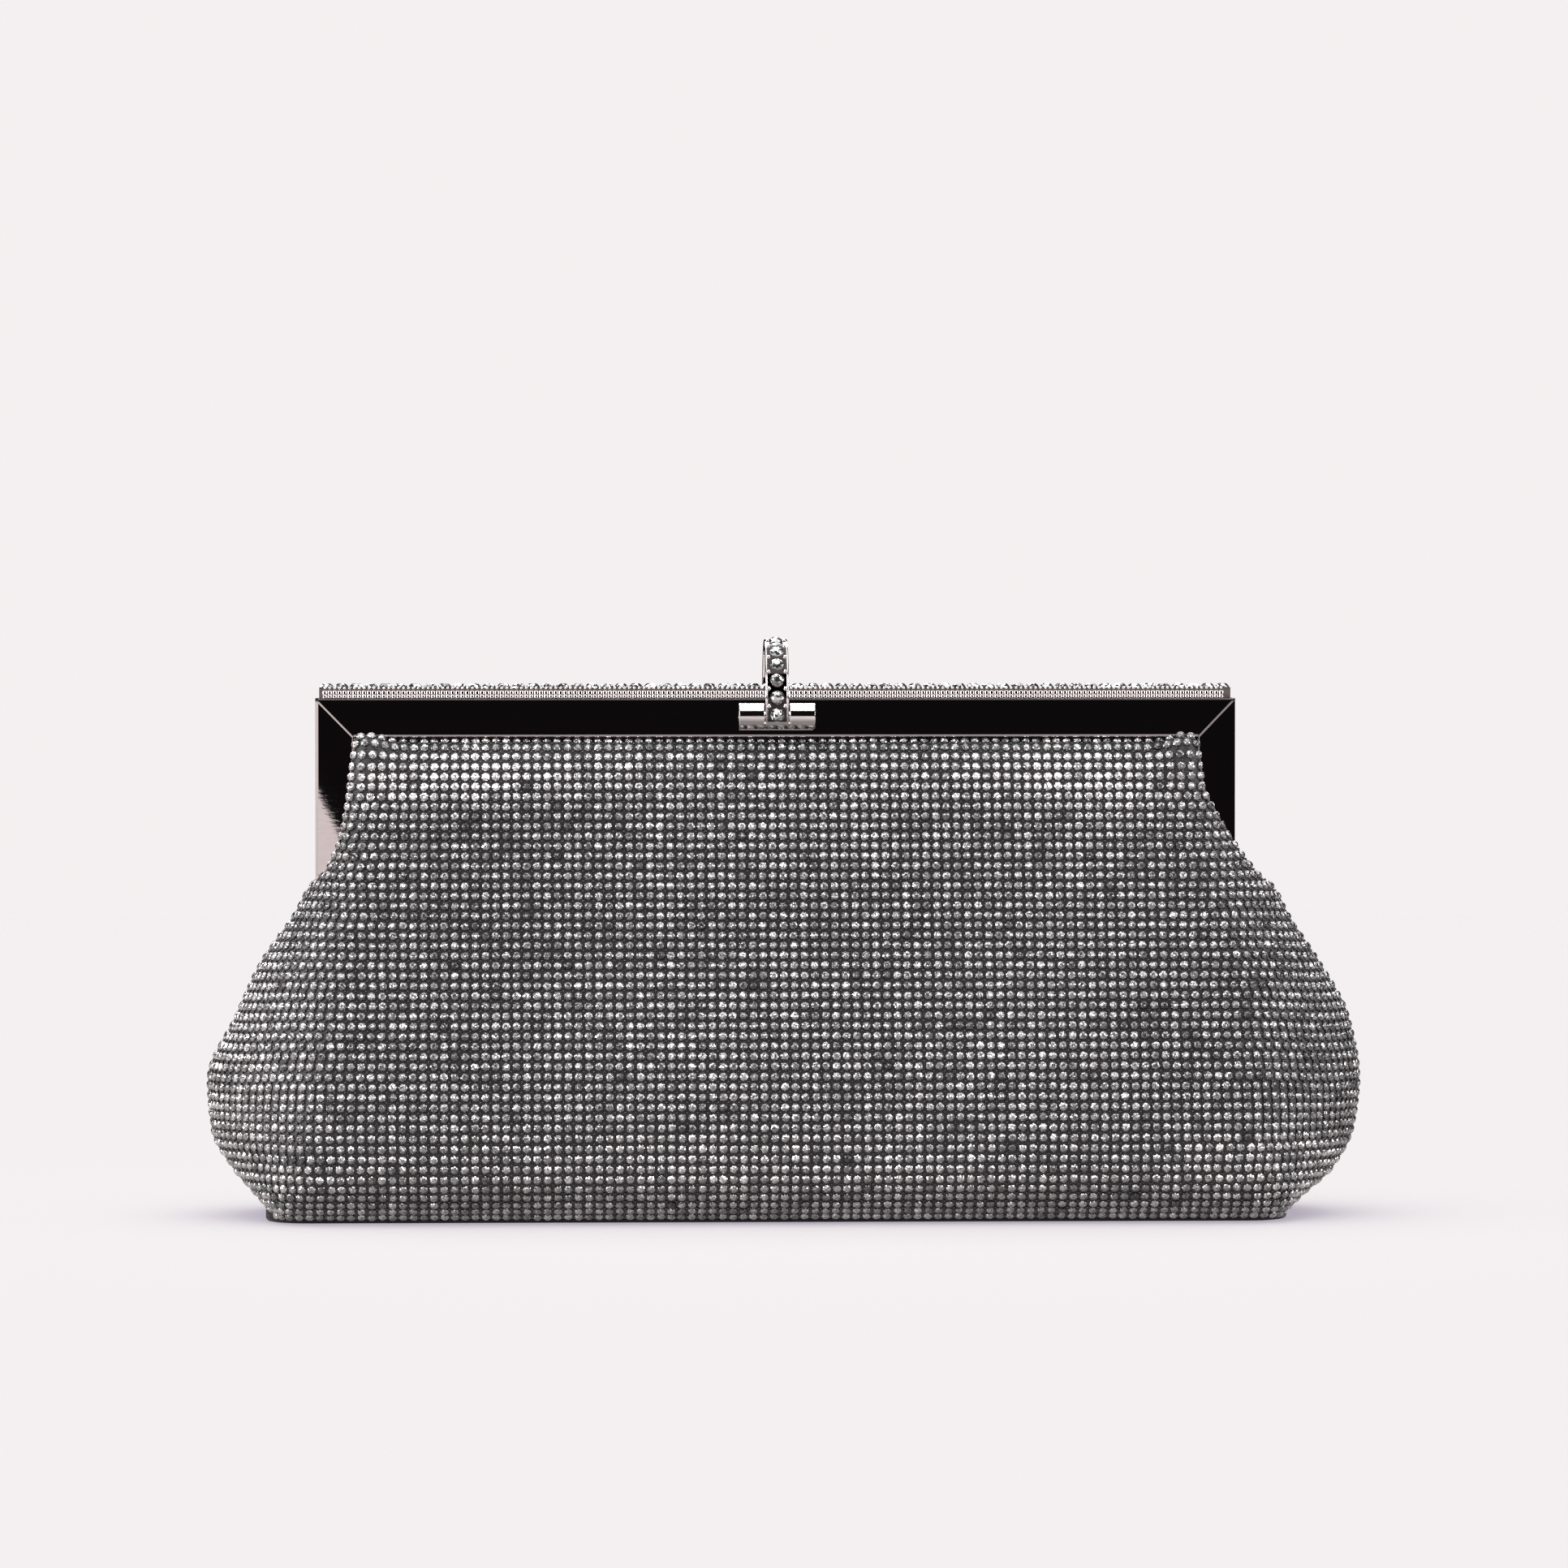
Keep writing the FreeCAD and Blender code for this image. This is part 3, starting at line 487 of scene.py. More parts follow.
def boardMaterial():
    material, tree, surface = newMaterial("pressed_board", Roughness=0.85)
    fibre = addNode(tree, "ShaderNodeTexNoise", {
        "Vector": objectCoords(tree), "Scale": 700.0, "Detail": 6,
    }).outputs["Fac"]
    colour = mixColours(tree, fibre, (0.20, 0.16, 0.11), (0.34, 0.28, 0.20))
    feed(tree, surface["Base Color"], colour)
    addBump(tree, fibre, 0.3, 0.1 * mm)
    return material


platingColour = (0.70, 0.635, 0.63)
brightColours = (0.80, 0.755, 0.75), (0.62, 0.58, 0.575)
plating = polishedPlating("polished_plating", platingColour, (0.52, 0.47, 0.465))
brightPlating = polishedPlating("bright_plating", *brightColours)
beadPlating = polishedPlating(
    "bead_plating", (0.86, 0.80, 0.79), (0.66, 0.60, 0.59), edgeRadius=None
)
# a dark copy of the plating that paints shade, on the rail's body between its ribs and beads and on
# the nubs between the stones
grooveShadePlating = polishedPlating("groove_shade_plating", (0.16, 0.14, 0.14), (0.10, 0.09, 0.09))
claspPlating = settingPlating("clasp_plating_channel_shade", *brightColours)
framePlating = mitredPlating("frame_plating", platingColour, (0.62, 0.56, 0.555))
meshStone = foiledStone(
    "mesh_stone", 2600.0, 0.55, (0.98, 0.96, 0.965), (0.035, 0.034, 0.035), 0.17
)
cutStone = foiledStone("cut_stone", 1200.0, 0.9, (0.95, 0.95, 0.96), (0.03, 0.03, 0.031), 0.04)
# light and dark thread, thread scale, sheen and bump of each cloth
backingCloth, satinCloth, threadCloth, foamCloth, paperCord = (
    wovenCloth(*cloth) for cloth in (
        ("silver_backing", (0.12, 0.114, 0.117), (0.035, 0.033, 0.034), 700.0, 0.1, 0.4),
        ("satin_lining", (0.135, 0.125, 0.14), (0.07, 0.065, 0.075), 1500.0, 0.35, 0.15),
        ("satin_thread", (0.30, 0.29, 0.31), (0.16, 0.15, 0.17), 3000.0, 0.2, 0.2),
        ("soft_interlining", (0.72, 0.72, 0.70), (0.5, 0.5, 0.49), 500.0, 0.3, 0.5),
        ("paper_cord", (0.60, 0.50, 0.36), (0.34, 0.27, 0.18), 900.0, 0.1, 0.6),
    )
)
soleWeave = soleCloth()
pressedBoard = boardMaterial()
print("materials made")


# ---------- the pouch wall ----------

# Level outlines of the stone cloth from the base up to the frame's channel. "depth" is how
# far the front stands out, "corner" where it turns, "out" how far its side reaches at each
# end. The left and right end of the frame hold it differently. Millimetres from the middle.
pouch = {
    "pitch": 2.35,
    "height": [
        1.0, 5.5, 11, 20, 33, 47, 60, 70, 76,
        80, 86, 93, 100, 105, 108.5, 110.6, 114,
    ],
    "depth": [
        23.9, 29.2, 32.2, 33.0, 30.9, 27.2, 23.5, 20.4, 18.6,
        17.5, 15.8, 13.9, 12.1, 10.6, 8.9, 6.4, 5.2,
    ],
    "cornerLeft": [
        114, 114, 112, 110, 108.5, 107, 105, 101.5, 99,
        98, 97.5, 97, 96.5, 96.5, 96.5, 96.5, 96,
    ],
    "cornerRight": [
        115, 116, 114.5, 113, 113, 112, 109.5, 106, 104,
        102, 100, 97.8, 96.5, 96.5, 96.5, 96.5, 96,
    ],
    "outLeft": [
        115.5, 119.5, 124.5, 129.6, 130.6, 124.4, 118.2, 110.8, 107.4,
        104.4, 101.4, 99.6, 98.8, 98.0, 97.4, 97.0, 96.8,
    ],
    "outRight": [
        116.0, 121.6, 128.6, 133.4, 134.9, 132.4, 125.4, 118.6, 115.4,
        111.6, 106.8, 102.2, 98.8, 98.2, 97.4, 97.0, 96.8,
    ],
    "seamEnd": 76.0,
    "legStart": 80.0,
    "fabricGauge": 0.7,
    "wallGauge": 1.0,
    "liningGauge": 0.4,
    "bendBelow": 20.0,
    "bendAbove": 12.0,
    "layerShare": 0.28,
    "softTop": 107.0,
    "topBlend": (98, 8),
    "sideTuck": (1.6, 0.4),
    "topDepth": (5.4, 7.0),
    "pastFace": (0.3, 2.6),
    "bulgeOut": (1.0, 0.5),
    "bulgeShare": 0.32,
    "squareBelow": (14, 10),
    "lead": 15.0,
    # how full the cloth is under the lip, over the belly and at its gathered top corners
    "fullness": [
        (-66, 101, 26, 7, 1.5), (46, 100, 26, 8, 1.3), (4, 66, 60, 12, -0.9),
        (-20, 30, 80, 16, 0.5), (-94, 106.5, 4.5, 4.5, 1.9), (94.5, 106.5, 3.5, 4.5, 1.5),
        (-88, 84, 5, 18, -0.8), (92, 80, 6, 18, -0.9),
    ],
    "ripple": 0.25,
    "sideDrop": 1.2,
    "gather": (94, 109, 4.5, 3.5, 1.3),
    "tone": 0.37,
    # where soft folds turn the cloth to the light or away: across, up, width, height, amount
    "sheen": [
        (-74, 102.5, 22, 5.5, 0.85), (-92, 100, 5, 9, 0.35), (68, 102, 17, 5.5, 0.85),
        (80, 96, 10, 4, 0.20), (-40, 104, 18, 5, 0.20), (20, 103, 30, 5, 0.08),
        (-5, 108.8, 200, 1.1, -0.20), (-66, 90, 34, 6, -0.08), (-70, 72, 24, 14, -0.07),
        (10, 90, 34, 9, 0.06), (90, 88, 9, 12, -0.04), (4, 66, 110, 9, -0.05),
        (-122, 45, 13, 34, 0.24), (128, 40, 12, 34, -0.05), (0, 12, 140, 6, 0.13),
        (40, 30, 50, 10, 0.05), (-60, 28, 40, 9, 0.05), (100, 50, 14, 24, -0.05),
        (112, 14, 16, 9, 0.22),
    ],
}
wallStep = 0.5
arcStep = 1.0
arcReach = 165.0
ledgeDepth = 5.0


def faceDepth(across):
    # how far the frame's sloping face stands forward at a distance from its end, in mm
    rise = faceFront / mm - ledgeDepth
    inward = np.clip(frameEnd / mm - across, 0, faceWidth)
    return ledgeDepth + rise * inward / faceWidth


def levelOutline(height, side):
    # half an outline, from the middle of the front to the side, as (across, depth)
    depth = smoothThrough(pouch["height"], pouch["depth"], height)
    label = "Left" if side < 0 else "Right"
    corner = smoothThrough(pouch["height"], pouch["corner" + label], height)
    out = smoothThrough(pouch["height"], pouch["out" + label], height)
    legs = pouch["legStart"] - pouch["seamEnd"]
    beside = smoothStep((height - pouch["seamEnd"]) / legs)
    topStart, topSpan = pouch["topBlend"]
    nearTop = smoothStep((height - topStart) / topSpan)
    tuckLow, tuckMore = pouch["sideTuck"]
    edgeTop, bulgeTop = pouch["topDepth"]
    edgePast, bulgePast = pouch["pastFace"]
    outLow, outHigh = pouch["bulgeOut"]
    tuck = out - tuckLow - tuckMore * nearTop
    edgeDepth = beside * ((faceDepth(tuck) + edgePast) * (1 - nearTop) + edgeTop * nearTop)
    edge = np.array([out * (1 - beside) + tuck * beside, edgeDepth])
    rounded = np.array([out + outLow, pouch["bulgeShare"] * depth])
    sideDepth = np.minimum(depth - 1.2, faceDepth(out) + bulgePast)
    bulge = np.array(
        [out + outHigh * (1 - nearTop), sideDepth * (1 - nearTop) + bulgeTop * nearTop]
    )
    bulge = rounded * (1 - beside) + bulge * beside
    squareTop, squareSpan = pouch["squareBelow"]
    squareEnd = smoothStep((squareTop - height) / squareSpan)
    bulge = bulge * (1 - squareEnd) + np.array([out, 0.5 * depth]) * squareEnd
    controls = np.array([
        (0, depth), (0.5 * corner, depth), (corner - pouch["lead"], depth),
        (corner, depth), bulge, edge,
    ])
    return quadraticCurve(controls)


def quadraticCurve(controls, count=40):
    # a clamped uniform quadratic spline through the ends of its control line
    points = [controls[0]]
    last = len(controls) - 2
    for index in range(1, len(controls) - 1):
        start = controls[0] if index == 1 else (controls[index - 1] + controls[index]) / 2
        end = controls[-1] if index == last else (controls[index] + controls[index + 1]) / 2
        for t in np.linspace(0, 1, count)[1:]:
            points.append((1 - t) ** 2 * start + 2 * t * (1 - t) * controls[index] + t**2 * end)
    return np.array(points)


def softShape(across, height, depth):
    # the fullness of the cloth and a faint ripple, fading out towards the base
    full = addMounds(0, pouch["fullness"], across, height)
    ripple = np.sin(across / 13.0 + height / 17.0) * np.sin(height / 21.0 + 1.0)
    return depth + (full + pouch["ripple"] * ripple) * smoothStep((height - 6) / 12)


def buildWallTable():
    # points of the cloth by height and by the distance run from the middle, for each end
    heights = np.arange(pouch["height"][0], pouch["height"][-1] + wallStep / 2, wallStep)
    arcs = np.arange(0, arcReach + arcStep / 2, arcStep)
    table = {}
    for side in (-1, 1):
        rows, reaches = [], []
        for height in heights:
            outline = levelOutline(height, side)
            steps = np.linalg.norm(np.diff(outline, axis=0), axis=1)
            run = np.concatenate([[0], np.cumsum(steps)])
            across = np.interp(arcs, run, outline[:, 0])
            depth = np.interp(arcs, run, outline[:, 1])
            reaches.append(run[-1])
            depth = softShape(side * across, height, depth)
            drop = pouch["sideDrop"] * smoothStep((arcs - 105) / 30)
            drop = drop * smoothStep((height - 14) / 20) * smoothStep((95 - height) / 22)
            gatherAt, *gather = pouch["gather"]
            rise = addMounds(0, [(side * gatherAt, *gather)], side * across, height)
            rows.append(np.stack([side * across, depth, height - drop + rise], axis=1))
        table[side] = {"points": np.array(rows) * mm, "reach": np.array(reaches)}
    return heights, arcs, table


wallHeights, wallArcs, wallTable = buildWallTable()


def wallPlace(arc, height):
    # place and outward direction on the front cloth, arc counted from the middle
    arc = np.asarray(arc, float)
    height = np.asarray(height, float)
    place = np.zeros((*arc.shape, 3))
    outward = np.zeros((*arc.shape, 3))
    for side in (-1, 1):
        points = wallTable[side]["points"]
        chosen = arc < 0 if side < 0 else arc >= 0
        row = np.clip((height[chosen] - wallHeights[0]) / wallStep, 0, len(wallHeights) - 1.001)
        column = np.clip(np.abs(arc[chosen]) / arcStep, 0, len(wallArcs) - 1.001)
        low, left = row.astype(int), column.astype(int)
        up, along = (row - low)[:, None], (column - left)[:, None]
        lower = points[low, left] * (1 - along) + points[low, left + 1] * along
        upper = points[low + 1, left] * (1 - along) + points[low + 1, left + 1] * along
        place[chosen] = lower * (1 - up) + upper * up
        near = np.clip(left, 1, len(wallArcs) - 3)
        base = np.clip(low, 1, len(wallHeights) - 3)
        across = points[base, near + 1] - points[base, near - 1]
        rising = points[base + 2, near] - points[base - 1, near]
        # depth counts towards the front, so the cross product is taken in that sense
        normal = np.cross(rising, across) if side > 0 else np.cross(across, rising)
        outward[chosen] = normal / np.maximum(np.linalg.norm(normal, axis=1), 1e-12)[:, None]
    return place, outward


def reachAt(height, side):
    return np.interp(height, wallHeights, wallTable[side]["reach"])


def climb():
    # heights that lie one row apart along the middle of the front
    fine = np.arange(pouch["height"][0], pouch["height"][-1], 0.1)
    depth = smoothThrough(pouch["height"], pouch["depth"], fine)
    run = np.concatenate([[0], np.cumsum(np.hypot(np.diff(fine), np.diff(depth)))])
    rows = np.arange(0, run[-1], pouch["pitch"] / 2)
    return np.interp(rows, run, fine)


halfRows = climb()


def rowAt(height):
    return int(np.searchsorted(halfRows, height))


def turnSide(points, side):
    # depth is positive forward, so the front lies at -Y and the back at +Y
    turned = points.copy()
    turned[..., 1] *= side
    return turned


def bendWithFrame(piece):
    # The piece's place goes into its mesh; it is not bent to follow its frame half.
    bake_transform(piece)


def wallSheet(name, side, inset, gauge, material, columns=120, low=0, high=None, width=None):
    # a sheet that follows the wall, `inset` mm inside its face
    heights = halfRows[low:high]
    middle = np.linspace(-1, 1, columns + 1)
    grid = []
    for height in heights:
        if width is None:
            reach = np.where(middle < 0, reachAt(height, -1), reachAt(height, 1))
        else:
            reach = width
        arcs = middle * reach
        place, outward = wallPlace(arcs, np.full(len(arcs), height))
        grid.append(place - outward * inset * mm)
    grid = turnSide(np.array(grid), side)
    rows, across = grid.shape[:2]
    faces = []
    for row in range(rows - 1):
        for column in range(across - 1):
            first = row * across + column
            quad = [first, first + 1, first + across + 1, first + across]
            faces.append(quad if side < 0 else quad[::-1])
    piece = pieceFromMesh(name, grid.reshape(-1, 3), faces)
    layer = piece.data.uv_layers.new(name="cloth")
    for loop in piece.data.loops:
        row, column = divmod(loop.vertex_index, across)
        layer.data[loop.index].uv = (column / (across - 1) * 0.27, row / (rows - 1) * 0.12)
    thicken(piece, gauge * mm)
    bpy.ops.object.shade_smooth_by_angle(angle=math.radians(50))
    setMaterial(piece, material)
    lengths = np.linalg.norm(np.diff(grid, axis=1), axis=2).sum(axis=1)
    steps = np.linalg.norm(np.diff(grid, axis=0), axis=2).mean(axis=1)
    flat = (float(lengths.max()), float(steps.sum()))
    area = float((steps * (lengths[:-1] + lengths[1:]) / 2).sum())
    bendWithFrame(piece)
    return piece, flat, area


# ---------- stones of the cloth ----------

stoneCloth = {
    "stone": {"radius": 1.05, "cup": 0.3, "crown": [(0.78, 0.30), (0.42, 0.53)], "sides": 8},
    "nub": {"radius": 0.30, "cup": 0.2, "crown": [(0.5, 0.18)], "sides": 5},
    "nubOut": 0.15,
    "lowRow": 1.3,
    "middleRow": 52.0,
    "topRow": 110.1,
    "firstNub": 3.0,
    "evenReach": 84.0,
    "tilt": 0.06,
    "stray": 0.03,
    "turn": 0.12,
    "toneSpread": 0.30,
}


def cutStonePiece(name, shape):
    # a filled girdle drawn up for the cup, then each row of crown facets inset and raised
    radius, cup, sides = shape["radius"] * mm, shape["cup"] * mm, shape["sides"]
    deselectAll()
    bpy.ops.mesh.primitive_circle_add(vertices=sides, radius=radius, fill_type="NGON")
    stone = newPiece(name)
    bpy.ops.object.mode_set(mode="EDIT")
    bpy.ops.mesh.select_all(action="SELECT")
    bpy.ops.mesh.extrude_region_move(TRANSFORM_OT_translate={"value": (0, 0, cup)})
    reach, level = radius, cup
    for share, rise in shape["crown"]:
        top = cup + rise * mm
        bpy.ops.mesh.inset(thickness=(reach - share * radius) * math.cos(math.pi / sides), depth=0)
        bpy.ops.transform.translate(value=(0, 0, top - level))
        bpy.ops.transform.rotate(
            value=math.pi / sides, orient_axis="Z", center_override=(0, 0, top)
        )
        reach, level = share * radius, top
    bpy.ops.mesh.select_all(action="SELECT")
    bpy.ops.mesh.normals_make_consistent(inside=False)
    leaveEdit()
    selectFaces(stone, lambda face: face.center.z > cup + 1e-9)
    bpy.ops.mesh.quads_convert_to_tris(quad_method="BEAUTY")
    leaveEdit()
    # the hidden bottom face goes
    selectFaces(stone, lambda face: face.center.z < 1e-9)
    bpy.ops.mesh.delete(type="FACE")
    leaveEdit()
    return stone


def copyOver(name, source, places, outward, turns, tones):
    # one mesh that holds a copy of the source at every place, each with its own tone, which carries
    # painted sheen on the cloth's stones
    count = len(source.data.vertices)
    base = np.zeros(count * 3)
    source.data.vertices.foreach_get("co", base)
    base = base.reshape(-1, 3)
    guide = np.where(np.abs(outward[:, 2:3]) > 0.9, [[1.0, 0, 0]], [[0, 0, 1.0]])
    sideways = unitRows(np.cross(guide, outward))
    upward = np.cross(outward, sideways)
    cosine, sine = np.cos(turns)[:, None], np.sin(turns)[:, None]
    first = sideways * cosine + upward * sine
    second = upward * cosine - sideways * sine
    axes = np.stack([first, second, outward], axis=1)
    points = np.einsum("vk,nkc->nvc", base, axes) + places[:, None, :]
    faces = [list(face.vertices) for face in source.data.polygons]
    shifts = [index * count for index in range(len(places))]
    everyFace = [[corner + shift for corner in face] for shift in shifts for face in faces]
    piece = pieceFromMesh(name, points.reshape(-1, 3), everyFace)
    tone = piece.data.attributes.new("sheenAndTone", "FLOAT", "FACE")
    tone.data.foreach_set("value", np.repeat(tones, len(faces)).astype(np.float32))
    return piece


def rowArcs(height, columnShift):
    # even columns across the middle, then eased to end half a column short of each seam
    pitch = pouch["pitch"]
    last = math.floor(stoneCloth["evenReach"] / pitch)
    middle = (np.arange(-last, last) + columnShift) * pitch
    ends = []
    for side, edge in ((-1, middle[0]), (1, middle[-1])):
        room = reachAt(height, side) - pitch / 2 - abs(edge)
        count = max(1, round(room / pitch))
        steps = edge + side * np.arange(1, count + 1) * room / count
        ends.append(steps[::side])
    return np.concatenate([ends[0], middle, ends[1]])


def clothPlaces(side, firstRow, columnShift, lowest, highest):
    # places on one wall, row by row, and the way each one faces
    places, directions = [], []
    for height in halfRows[firstRow::2]:
        if lowest <= height < highest:
            arcs = rowArcs(height, columnShift)
            place, outward = wallPlace(arcs, np.full(len(arcs), height))
            places.append(place)
            directions.append(outward)
    return turnSide(np.concatenate(places), side), turnSide(np.concatenate(directions), side)


def scatterStones(name, side, lowest, highest, seed):
    # stones with small faults of place, lean and turn, each toned by painted sheen and shade where
    # folds would catch or lose the light, times a random tone
    maker = np.random.default_rng(seed)
    places, outward = clothPlaces(side, 1, 0.5, lowest, highest)
    count = len(places)
    leaned = unitRows(outward + maker.normal(0, stoneCloth["tilt"], (count, 3)))
    places = places + maker.normal(0, stoneCloth["stray"] * mm, (count, 3))
    turns = maker.normal(0, stoneCloth["turn"], count)
    sheen = addMounds(pouch["tone"], pouch["sheen"], places[:, 0] / mm, places[:, 2] / mm)
    tones = np.clip(sheen * maker.normal(1.0, stoneCloth["toneSpread"], count), 0.04, 1.0)
    piece = copyOver(name, smallStone, places, leaned, turns, tones)
    setMaterial(piece, meshStone)
    bendWithFrame(piece)
    return piece


def scatterNubs(name, side):
    # the small points of the backing that show between four stones
    places, outward = clothPlaces(side, 2, 0.0, stoneCloth["firstNub"], stoneCloth["topRow"])
    places = places + outward * stoneCloth["nubOut"] * mm
    piece = copyOver(
        name, smallNub, places, outward, np.zeros(len(places)), np.ones(len(places))
    )
    # the nubs are coloured dark as painted shade between the stones
    setMaterial(piece, grooveShadePlating)
    bendWithFrame(piece)
    return piece


smallStone = cutStonePiece("cloth_stone", stoneCloth["stone"])
smallNub = cutStonePiece("cloth_nub", stoneCloth["nub"])
wallPieces = []
layerGap = 0.1
softTop = rowAt(pouch["softTop"])
# name, gauge, top row, material, slot and nodes of each layer, from the outside in
wallLayers = [
    ("stone_cloth", "fabricGauge", None, backingCloth, "stone_mesh", ["panel_lower", "panel_upper"]),
    ("foam", "wallGauge", softTop, foamCloth, "foam", ["interlining"]),
    ("satin", "liningGauge", softTop, satinCloth, "satin", ["lining_lower", "lining_upper"]),
]
for side, label in ((-1, "front"), (1, "back")):
    low, middleRow, top = (stoneCloth[row] for row in ("lowRow", "middleRow", "topRow"))
    stones = [
        scatterStones(f"{label}_stones_low", side, low, middleRow, 11 + side),
        scatterStones(f"{label}_stones_high", side, middleRow, top, 21 + side),
        scatterNubs(f"{label}_nubs", side),
    ]
    inset, under = 0.0, "base_board"
    for layer, gauge, high, material, slot, nodes in wallLayers:
        sheet, flat, area = wallSheet(
            f"{label}_{layer}", side, inset, pouch[gauge], material, high=high
        )
        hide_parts(*(f"{label}_{node}" for node in nodes))
        wallPieces += [sheet, *stones]
        inset += pouch[gauge] + layerGap
        under, stones = sheet.name, []


# ---------- pocket and base ----------

lining = {
    "pocketInset": 2.4,
    "pocketGauge": 0.4,
    "pocketHalf": 55.0,
    "pocketLow": 36.0,
    "hemLow": 61.0,
    "pocketHigh": 66.0,
    "stitchStep": 2.6,
    "stitchLength": 1.7,
    "stitchRadius": 0.16,
    "hemInset": 0.45,
    "stitchSetback": 1.2,
    "stitchRise": 0.9,
    "stitchDepth": 2.84,
    "hemStitchDepth": 3.34,
    "wrinkle": 0.12,
    "baseCorner": 0.07,
    "baseGauge": 0.35,
    "cutShare": 0.985,
}


def pocketSheet(name, low, inset, node):
    # a piece of satin on the back wall's lining
    piece, flat, area = wallSheet(
        name, 1, inset, lining["pocketGauge"], satinCloth, columns=64,
        low=rowAt(low), high=rowAt(lining["pocketHigh"]) + 1, width=lining["pocketHalf"],
    )
    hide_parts(node)
    return piece, flat, area


def pocketStitches():
    # one short rounded stitch, laid along the hem and down both ends
    deselectAll()
    bpy.ops.mesh.primitive_cylinder_add(
        vertices=6, radius=lining["stitchRadius"] * mm, depth=lining["stitchLength"] * mm
    )
    stitch = newPiece("stitch")
    half = lining["pocketHalf"] - lining["stitchSetback"]
    hem = lining["hemLow"]
    along = np.arange(-half, half, lining["stitchStep"])
    upward = np.arange(lining["pocketLow"] + 1, hem, lining["stitchStep"])
    arcs = np.concatenate([along, np.full(len(upward), -half), np.full(len(upward), half)])
    heights = np.concatenate([np.full(len(along), hem + lining["stitchRise"]), upward, upward])
    depth = np.where(heights > hem, lining["hemStitchDepth"], lining["stitchDepth"])
    place, outward = wallPlace(arcs, heights)
    place = turnSide(place - outward * depth[:, None] * mm, 1)
    ahead, above, behind, below = (
        wallPlace(arcs + 0.5 * over, heights + 0.5 * rise)[0]
        for over, rise in ((1, 0), (0, 1), (-1, 0), (0, -1))
    )
    level = (heights > hem)[:, None]
    way = unitRows(turnSide(np.where(level, ahead - behind, above - below), 1))
    piece = copyOver(
        "pocket_stitches", stitch, place, way, np.zeros(len(place)), np.ones(len(place))
    )
    setMaterial(piece, threadCloth)
    bendWithFrame(piece)
    bpy.data.objects.remove(stitch)
    return piece


def baseSatin():
    # the satin laid over the board, with faint wrinkles and rounded corners
    high = Vector(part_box("base_lining")[1])
    deselectAll()
    bpy.ops.mesh.primitive_grid_add(x_subdivisions=96, y_subdivisions=24, size=2)
    piece = newPiece("base_satin")
    for vertex in piece.data.vertices:
        u, v = vertex.co.x, vertex.co.y
        pull = 1 - lining["baseCorner"] * (u * v) ** 4
        wrinkle = lining["wrinkle"] * math.sin(9 * u + 5 * v) * math.sin(4 * u - 7 * v + 1)
        wrinkle *= (1 - u**8) * (1 - v**8)
        vertex.co = (high.x * u * pull, high.y * v * pull, high.z + wrinkle * mm)
    thicken(piece, lining["baseGauge"] * mm)
    bpy.ops.object.shade_smooth()
    setMaterial(piece, satinCloth)
    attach(piece, "pouch")
    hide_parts("base_lining")


cover = {"corner": 10.0, "edge": 0.8, "gap": 0.05}


def baseCloth():
    # the woven cover, drawn up round the edge of the board
    low, high = (Vector(corner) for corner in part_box("base_cover"))
    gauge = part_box("base_board")[0][2] - cover["gap"] * mm
    size = high - low
    deselectAll()
    bpy.ops.mesh.primitive_cube_add(size=1, location=(0, 0, high.z / 2), scale=size)
    piece = newPiece("base_cloth")
    finishPiece(piece)
    selectEdges(piece, lambda start, end: abs(start.z - end.z) > 0.5 * size.z)
    bpy.ops.mesh.bevel(offset=cover["corner"] * mm, segments=8, affect="EDGES")
    leaveEdit()
    selectFaces(piece, lambda face: face.normal.z > 0.9)
    bpy.ops.mesh.delete(type="ONLY_FACE")
    leaveEdit()
    selectEdges(piece, lambda start, end: max(start.z, end.z) < 0.1 * mm)
    bpy.ops.mesh.bevel(offset=cover["edge"] * mm, segments=4, affect="EDGES")
    leaveEdit()
    thicken(piece, gauge)
    bpy.ops.object.shade_smooth_by_angle(angle=math.radians(40))
    setMaterial(piece, soleWeave)
    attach(piece, "pouch")
    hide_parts("base_cover")


pocket, flat, area = pocketSheet(
    "slip_pocket_cloth", lining["pocketLow"], lining["pocketInset"], "slip_pocket"
)
hem, _, _ = pocketSheet(
    "pocket_hem_cloth", lining["hemLow"], lining["pocketInset"] + lining["hemInset"],
    "pocket_hem",
)
pocketStitches()
baseSatin()
baseCloth()
for source in (smallStone, smallNub):
    bpy.data.objects.remove(source)
print("pouch walls made:", sum(len(piece.data.polygons) for piece in wallPieces), "faces")


# ---------- rail and clasp trim ----------

trim = {
    "railPitch": 3.4,
    "railFirst": -103.7,
    "railCount": 62,
    "railStone": {"radius": 1.62, "cup": 0.35, "crown": [(0.84, 0.40), (0.56, 0.72)], "sides": 8},
    "railSink": 0.15,
    "ribRadius": 0.61,
    "ribLength": 1.75,
    "ribRound": 0.22,
    "ribOut": 0.30,
    "ribDrop": 1.55,
    "ribStep": 1.1333,
    "beadRadius": 0.34,
    "beadIn": 0.10,
    "beadDrop": 0.12,
    "endSetback": 1.3,
    "hoopOut": 13.083,
    "hoopHeight": 119.917,
    "claspStone": {"radius": 1.55, "cup": 0.40, "crown": [(0.76, 0.42), (0.44, 0.70)], "sides": 8},
    "claspSink": 0.35,
    "claspStep": 18.0,
    "claspCount": 10,
    "claspLow": 4.0,
    "rimRadius": 0.26,
    "rimIn": 0.02,
    "rimPlace": 2.42,
    "rimDrop": 1.6,
    "grainRadius": 0.52,
    "grainPlace": 1.90,
    "lowGrainRise": 2.0,
    "tones": (0.35, 0.95),
}


def roundBead(name, radius):
    deselectAll()
    bpy.ops.mesh.primitive_uv_sphere_add(segments=8, ring_count=5, radius=radius * mm)
    return newPiece(name)


